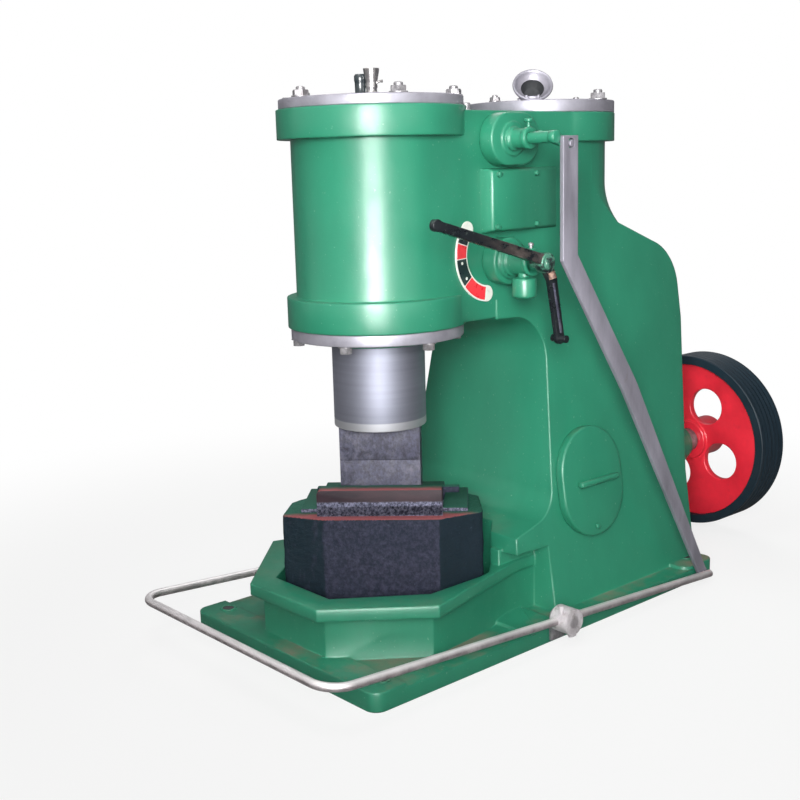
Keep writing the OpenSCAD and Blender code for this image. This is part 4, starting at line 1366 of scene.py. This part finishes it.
class HAMMER_OT_link_bar(bpy.types.Operator):
    """Bent flat bar from the treadle up to the upper valve's crank"""

    bl_idname = "hammer.link_bar"
    bl_label = "Link bar"

    def execute(self, context):
        dressed("link_bar_dressed", "link_bar", 1.8, 3, "bar", "bare_bar", "link", 20)
        return {"FINISHED"}


class HAMMER_OT_treadle(bpy.types.Operator):
    """Treadle bar round the base, its clamps and pivots"""

    bl_idname = "hammer.treadle"
    bl_label = "Treadle"

    PIVOT = (0, 215, 56)

    def execute(self, context):
        dressed("treadle_bar", "treadle", 1.2, 2, "treadle", "bare_bar", "treadle_body", 50)
        clamps = rounded("treadle_clamps", 4, 3, 35)
        end = end_of("treadle_clamps")
        for side in (-1, 1):
            hex_bolt(clamps, (side * (end - 17), 222, 31), (side * 0.25, 0.2, -1), 18, 11, 11, 0.4)
            disc(clamps, 16, end - 5, end, at(self.PIVOT, (side, 0, 0)), 1.5, 32)
        piece("treadle_clamps_dressed", clamps, "clamp", "plain_steel", "treadle_clamps",
              body="treadle_body")
        for node in ("treadle_pivot_right", "treadle_pivot_left"):
            dressed(node + "_dressed", node, 1.5, 2, "zinc", "plain_steel")
        return {"FINISHED"}


class HAMMER_OT_side_cover(bpy.types.Operator):
    """Cover on the column's right side, with its handle and screw"""

    bl_idname = "hammer.side_cover"
    bl_label = "Side cover"

    COLUMN_SLOPE = 0.17

    def execute(self, context):
        dressed("side_cover_dressed", "side_cover", 4.5, 3, "green", "green_paint")
        lean = math.atan(self.COLUMN_SLOPE)
        bm = rounded("side_cover_handle", 1.5, 2)
        place = (end_of("side_cover") - 1, 421, 204)
        hex_bolt(bm, place, (math.cos(lean), 0, math.sin(lean)), 12, 5)
        casting("side_handle_dressed", bm, "side_cover_handle")
        return {"FINISHED"}


class HAMMER_OT_belt_wheel(bpy.types.Operator):
    """Rear bearing, crankshaft and belt wheel"""

    bl_idname = "hammer.belt_wheel"
    bl_label = "Belt wheel"

    BOLT_RING, FLANGE = 108, 26
    RIM_BORE = 215
    GROOVES, PITCH, FIRST = 5, 17, 11

    def execute(self, context):
        x, z = middle_of("crankshaft").xz
        face = node_box("rear_bearing")[0].y + self.FLANGE
        bearing = rounded("rear_bearing", 4, 3)
        for i in range(6):
            bolt_x, bolt_z = on_circle((x, z), self.BOLT_RING, 30 + 60 * i)
            hex_bolt(bearing, (bolt_x, face, bolt_z), (0, 1, 0), 17, 10, 12, i)
        casting("rear_bearing_dressed", bearing, "rear_bearing")
        dressed("crankshaft_turned", "crankshaft", 2, 2, "zinc", "plain_steel", "belt_wheel")
        dressed("wheel_web_painted", "wheel_web", 3, 3, "red", "red_paint", "belt_wheel")
        self.rim(x, z)
        return {"FINISHED"}

    def rim(self, x, z):
        """Rim with grooves for the belts."""
        low, high = node_box("wheel_rim")
        bore, outer, width = self.RIM_BORE, (high.x - low.x) / 2, high.y - low.y
        groove = outer - 2.5
        profile = [(bore, 0), (outer - 2, 0), (outer, 2), (outer, 9)]
        for i in range(self.GROOVES):
            start = self.FIRST + self.PITCH * i
            profile += [(outer, start), (groove, start + 5), (groove, start + 8)]
            profile.append((outer, start + 13))
        profile += [(outer, width - 2), (outer - 2, width), (bore, width), (bore, 0)]
        bm = bmesh.new()
        lathe(bm, profile, at((x, low.y, z), (0, 1, 0)), 128)
        piece("wheel_rim_grooved", bm, "rim", "black_rim", "wheel_rim", body="belt_wheel")


# ---------------------------------------------------------------- add-on

SETTINGS = {"hammer_looks": HammerLooks, "hammer_sizes": HammerSizes, "hammer_stage": HammerStage}
OPERATORS = (
    HAMMER_OT_stage, HAMMER_OT_casting, HAMMER_OT_cylinder_heads, HAMMER_OT_ram, HAMMER_OT_anvil,
    HAMMER_OT_intake, HAMMER_OT_air_cock, HAMMER_OT_upper_valve, HAMMER_OT_valve_chest,
    HAMMER_OT_lower_valve, HAMMER_OT_levers, HAMMER_OT_quadrant, HAMMER_OT_link_bar,
    HAMMER_OT_treadle, HAMMER_OT_side_cover, HAMMER_OT_belt_wheel,
)


class HAMMER_PT_pieces(bpy.types.Panel):
    """Lists what the add-on builds"""

    bl_idname = "HAMMER_PT_pieces"
    bl_label = "Forging hammer"
    bl_space_type = "VIEW_3D"
    bl_region_type = "UI"
    bl_category = "Hammer"

    def draw(self, context):
        for setting in SETTINGS:
            group = getattr(context.scene, setting)
            box = self.layout.box()
            for name in group.__annotations__:
                box.prop(group, name)
        for operator in OPERATORS:
            self.layout.operator(operator.bl_idname)


CLASSES = (*SETTINGS.values(), *OPERATORS, HAMMER_PT_pieces)


def register():
    """Adds the settings, the operators and the panel."""
    for one in CLASSES:
        bpy.utils.register_class(one)
    for name, group in SETTINGS.items():
        setattr(bpy.types.Scene, name, bpy.props.PointerProperty(type=group))


def unregister():
    """Takes them away again."""
    for name in SETTINGS:
        delattr(bpy.types.Scene, name)
    for one in reversed(CLASSES):
        bpy.utils.unregister_class(one)


def main():
    """Builds every piece in order and writes both boxes."""
    register()
    for operator in OPERATORS:
        group, name = operator.bl_idname.split(".")
        getattr(getattr(bpy.ops, group), name)()
    record = {
        "cad": [list(corner) for corner in CAD_BOX],
        "visual": [list(corner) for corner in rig.bounds()],
    }
    with open(SIZE_FILE, "w") as file:
        json.dump(record, file)


if __name__ == "__main__":
    main()
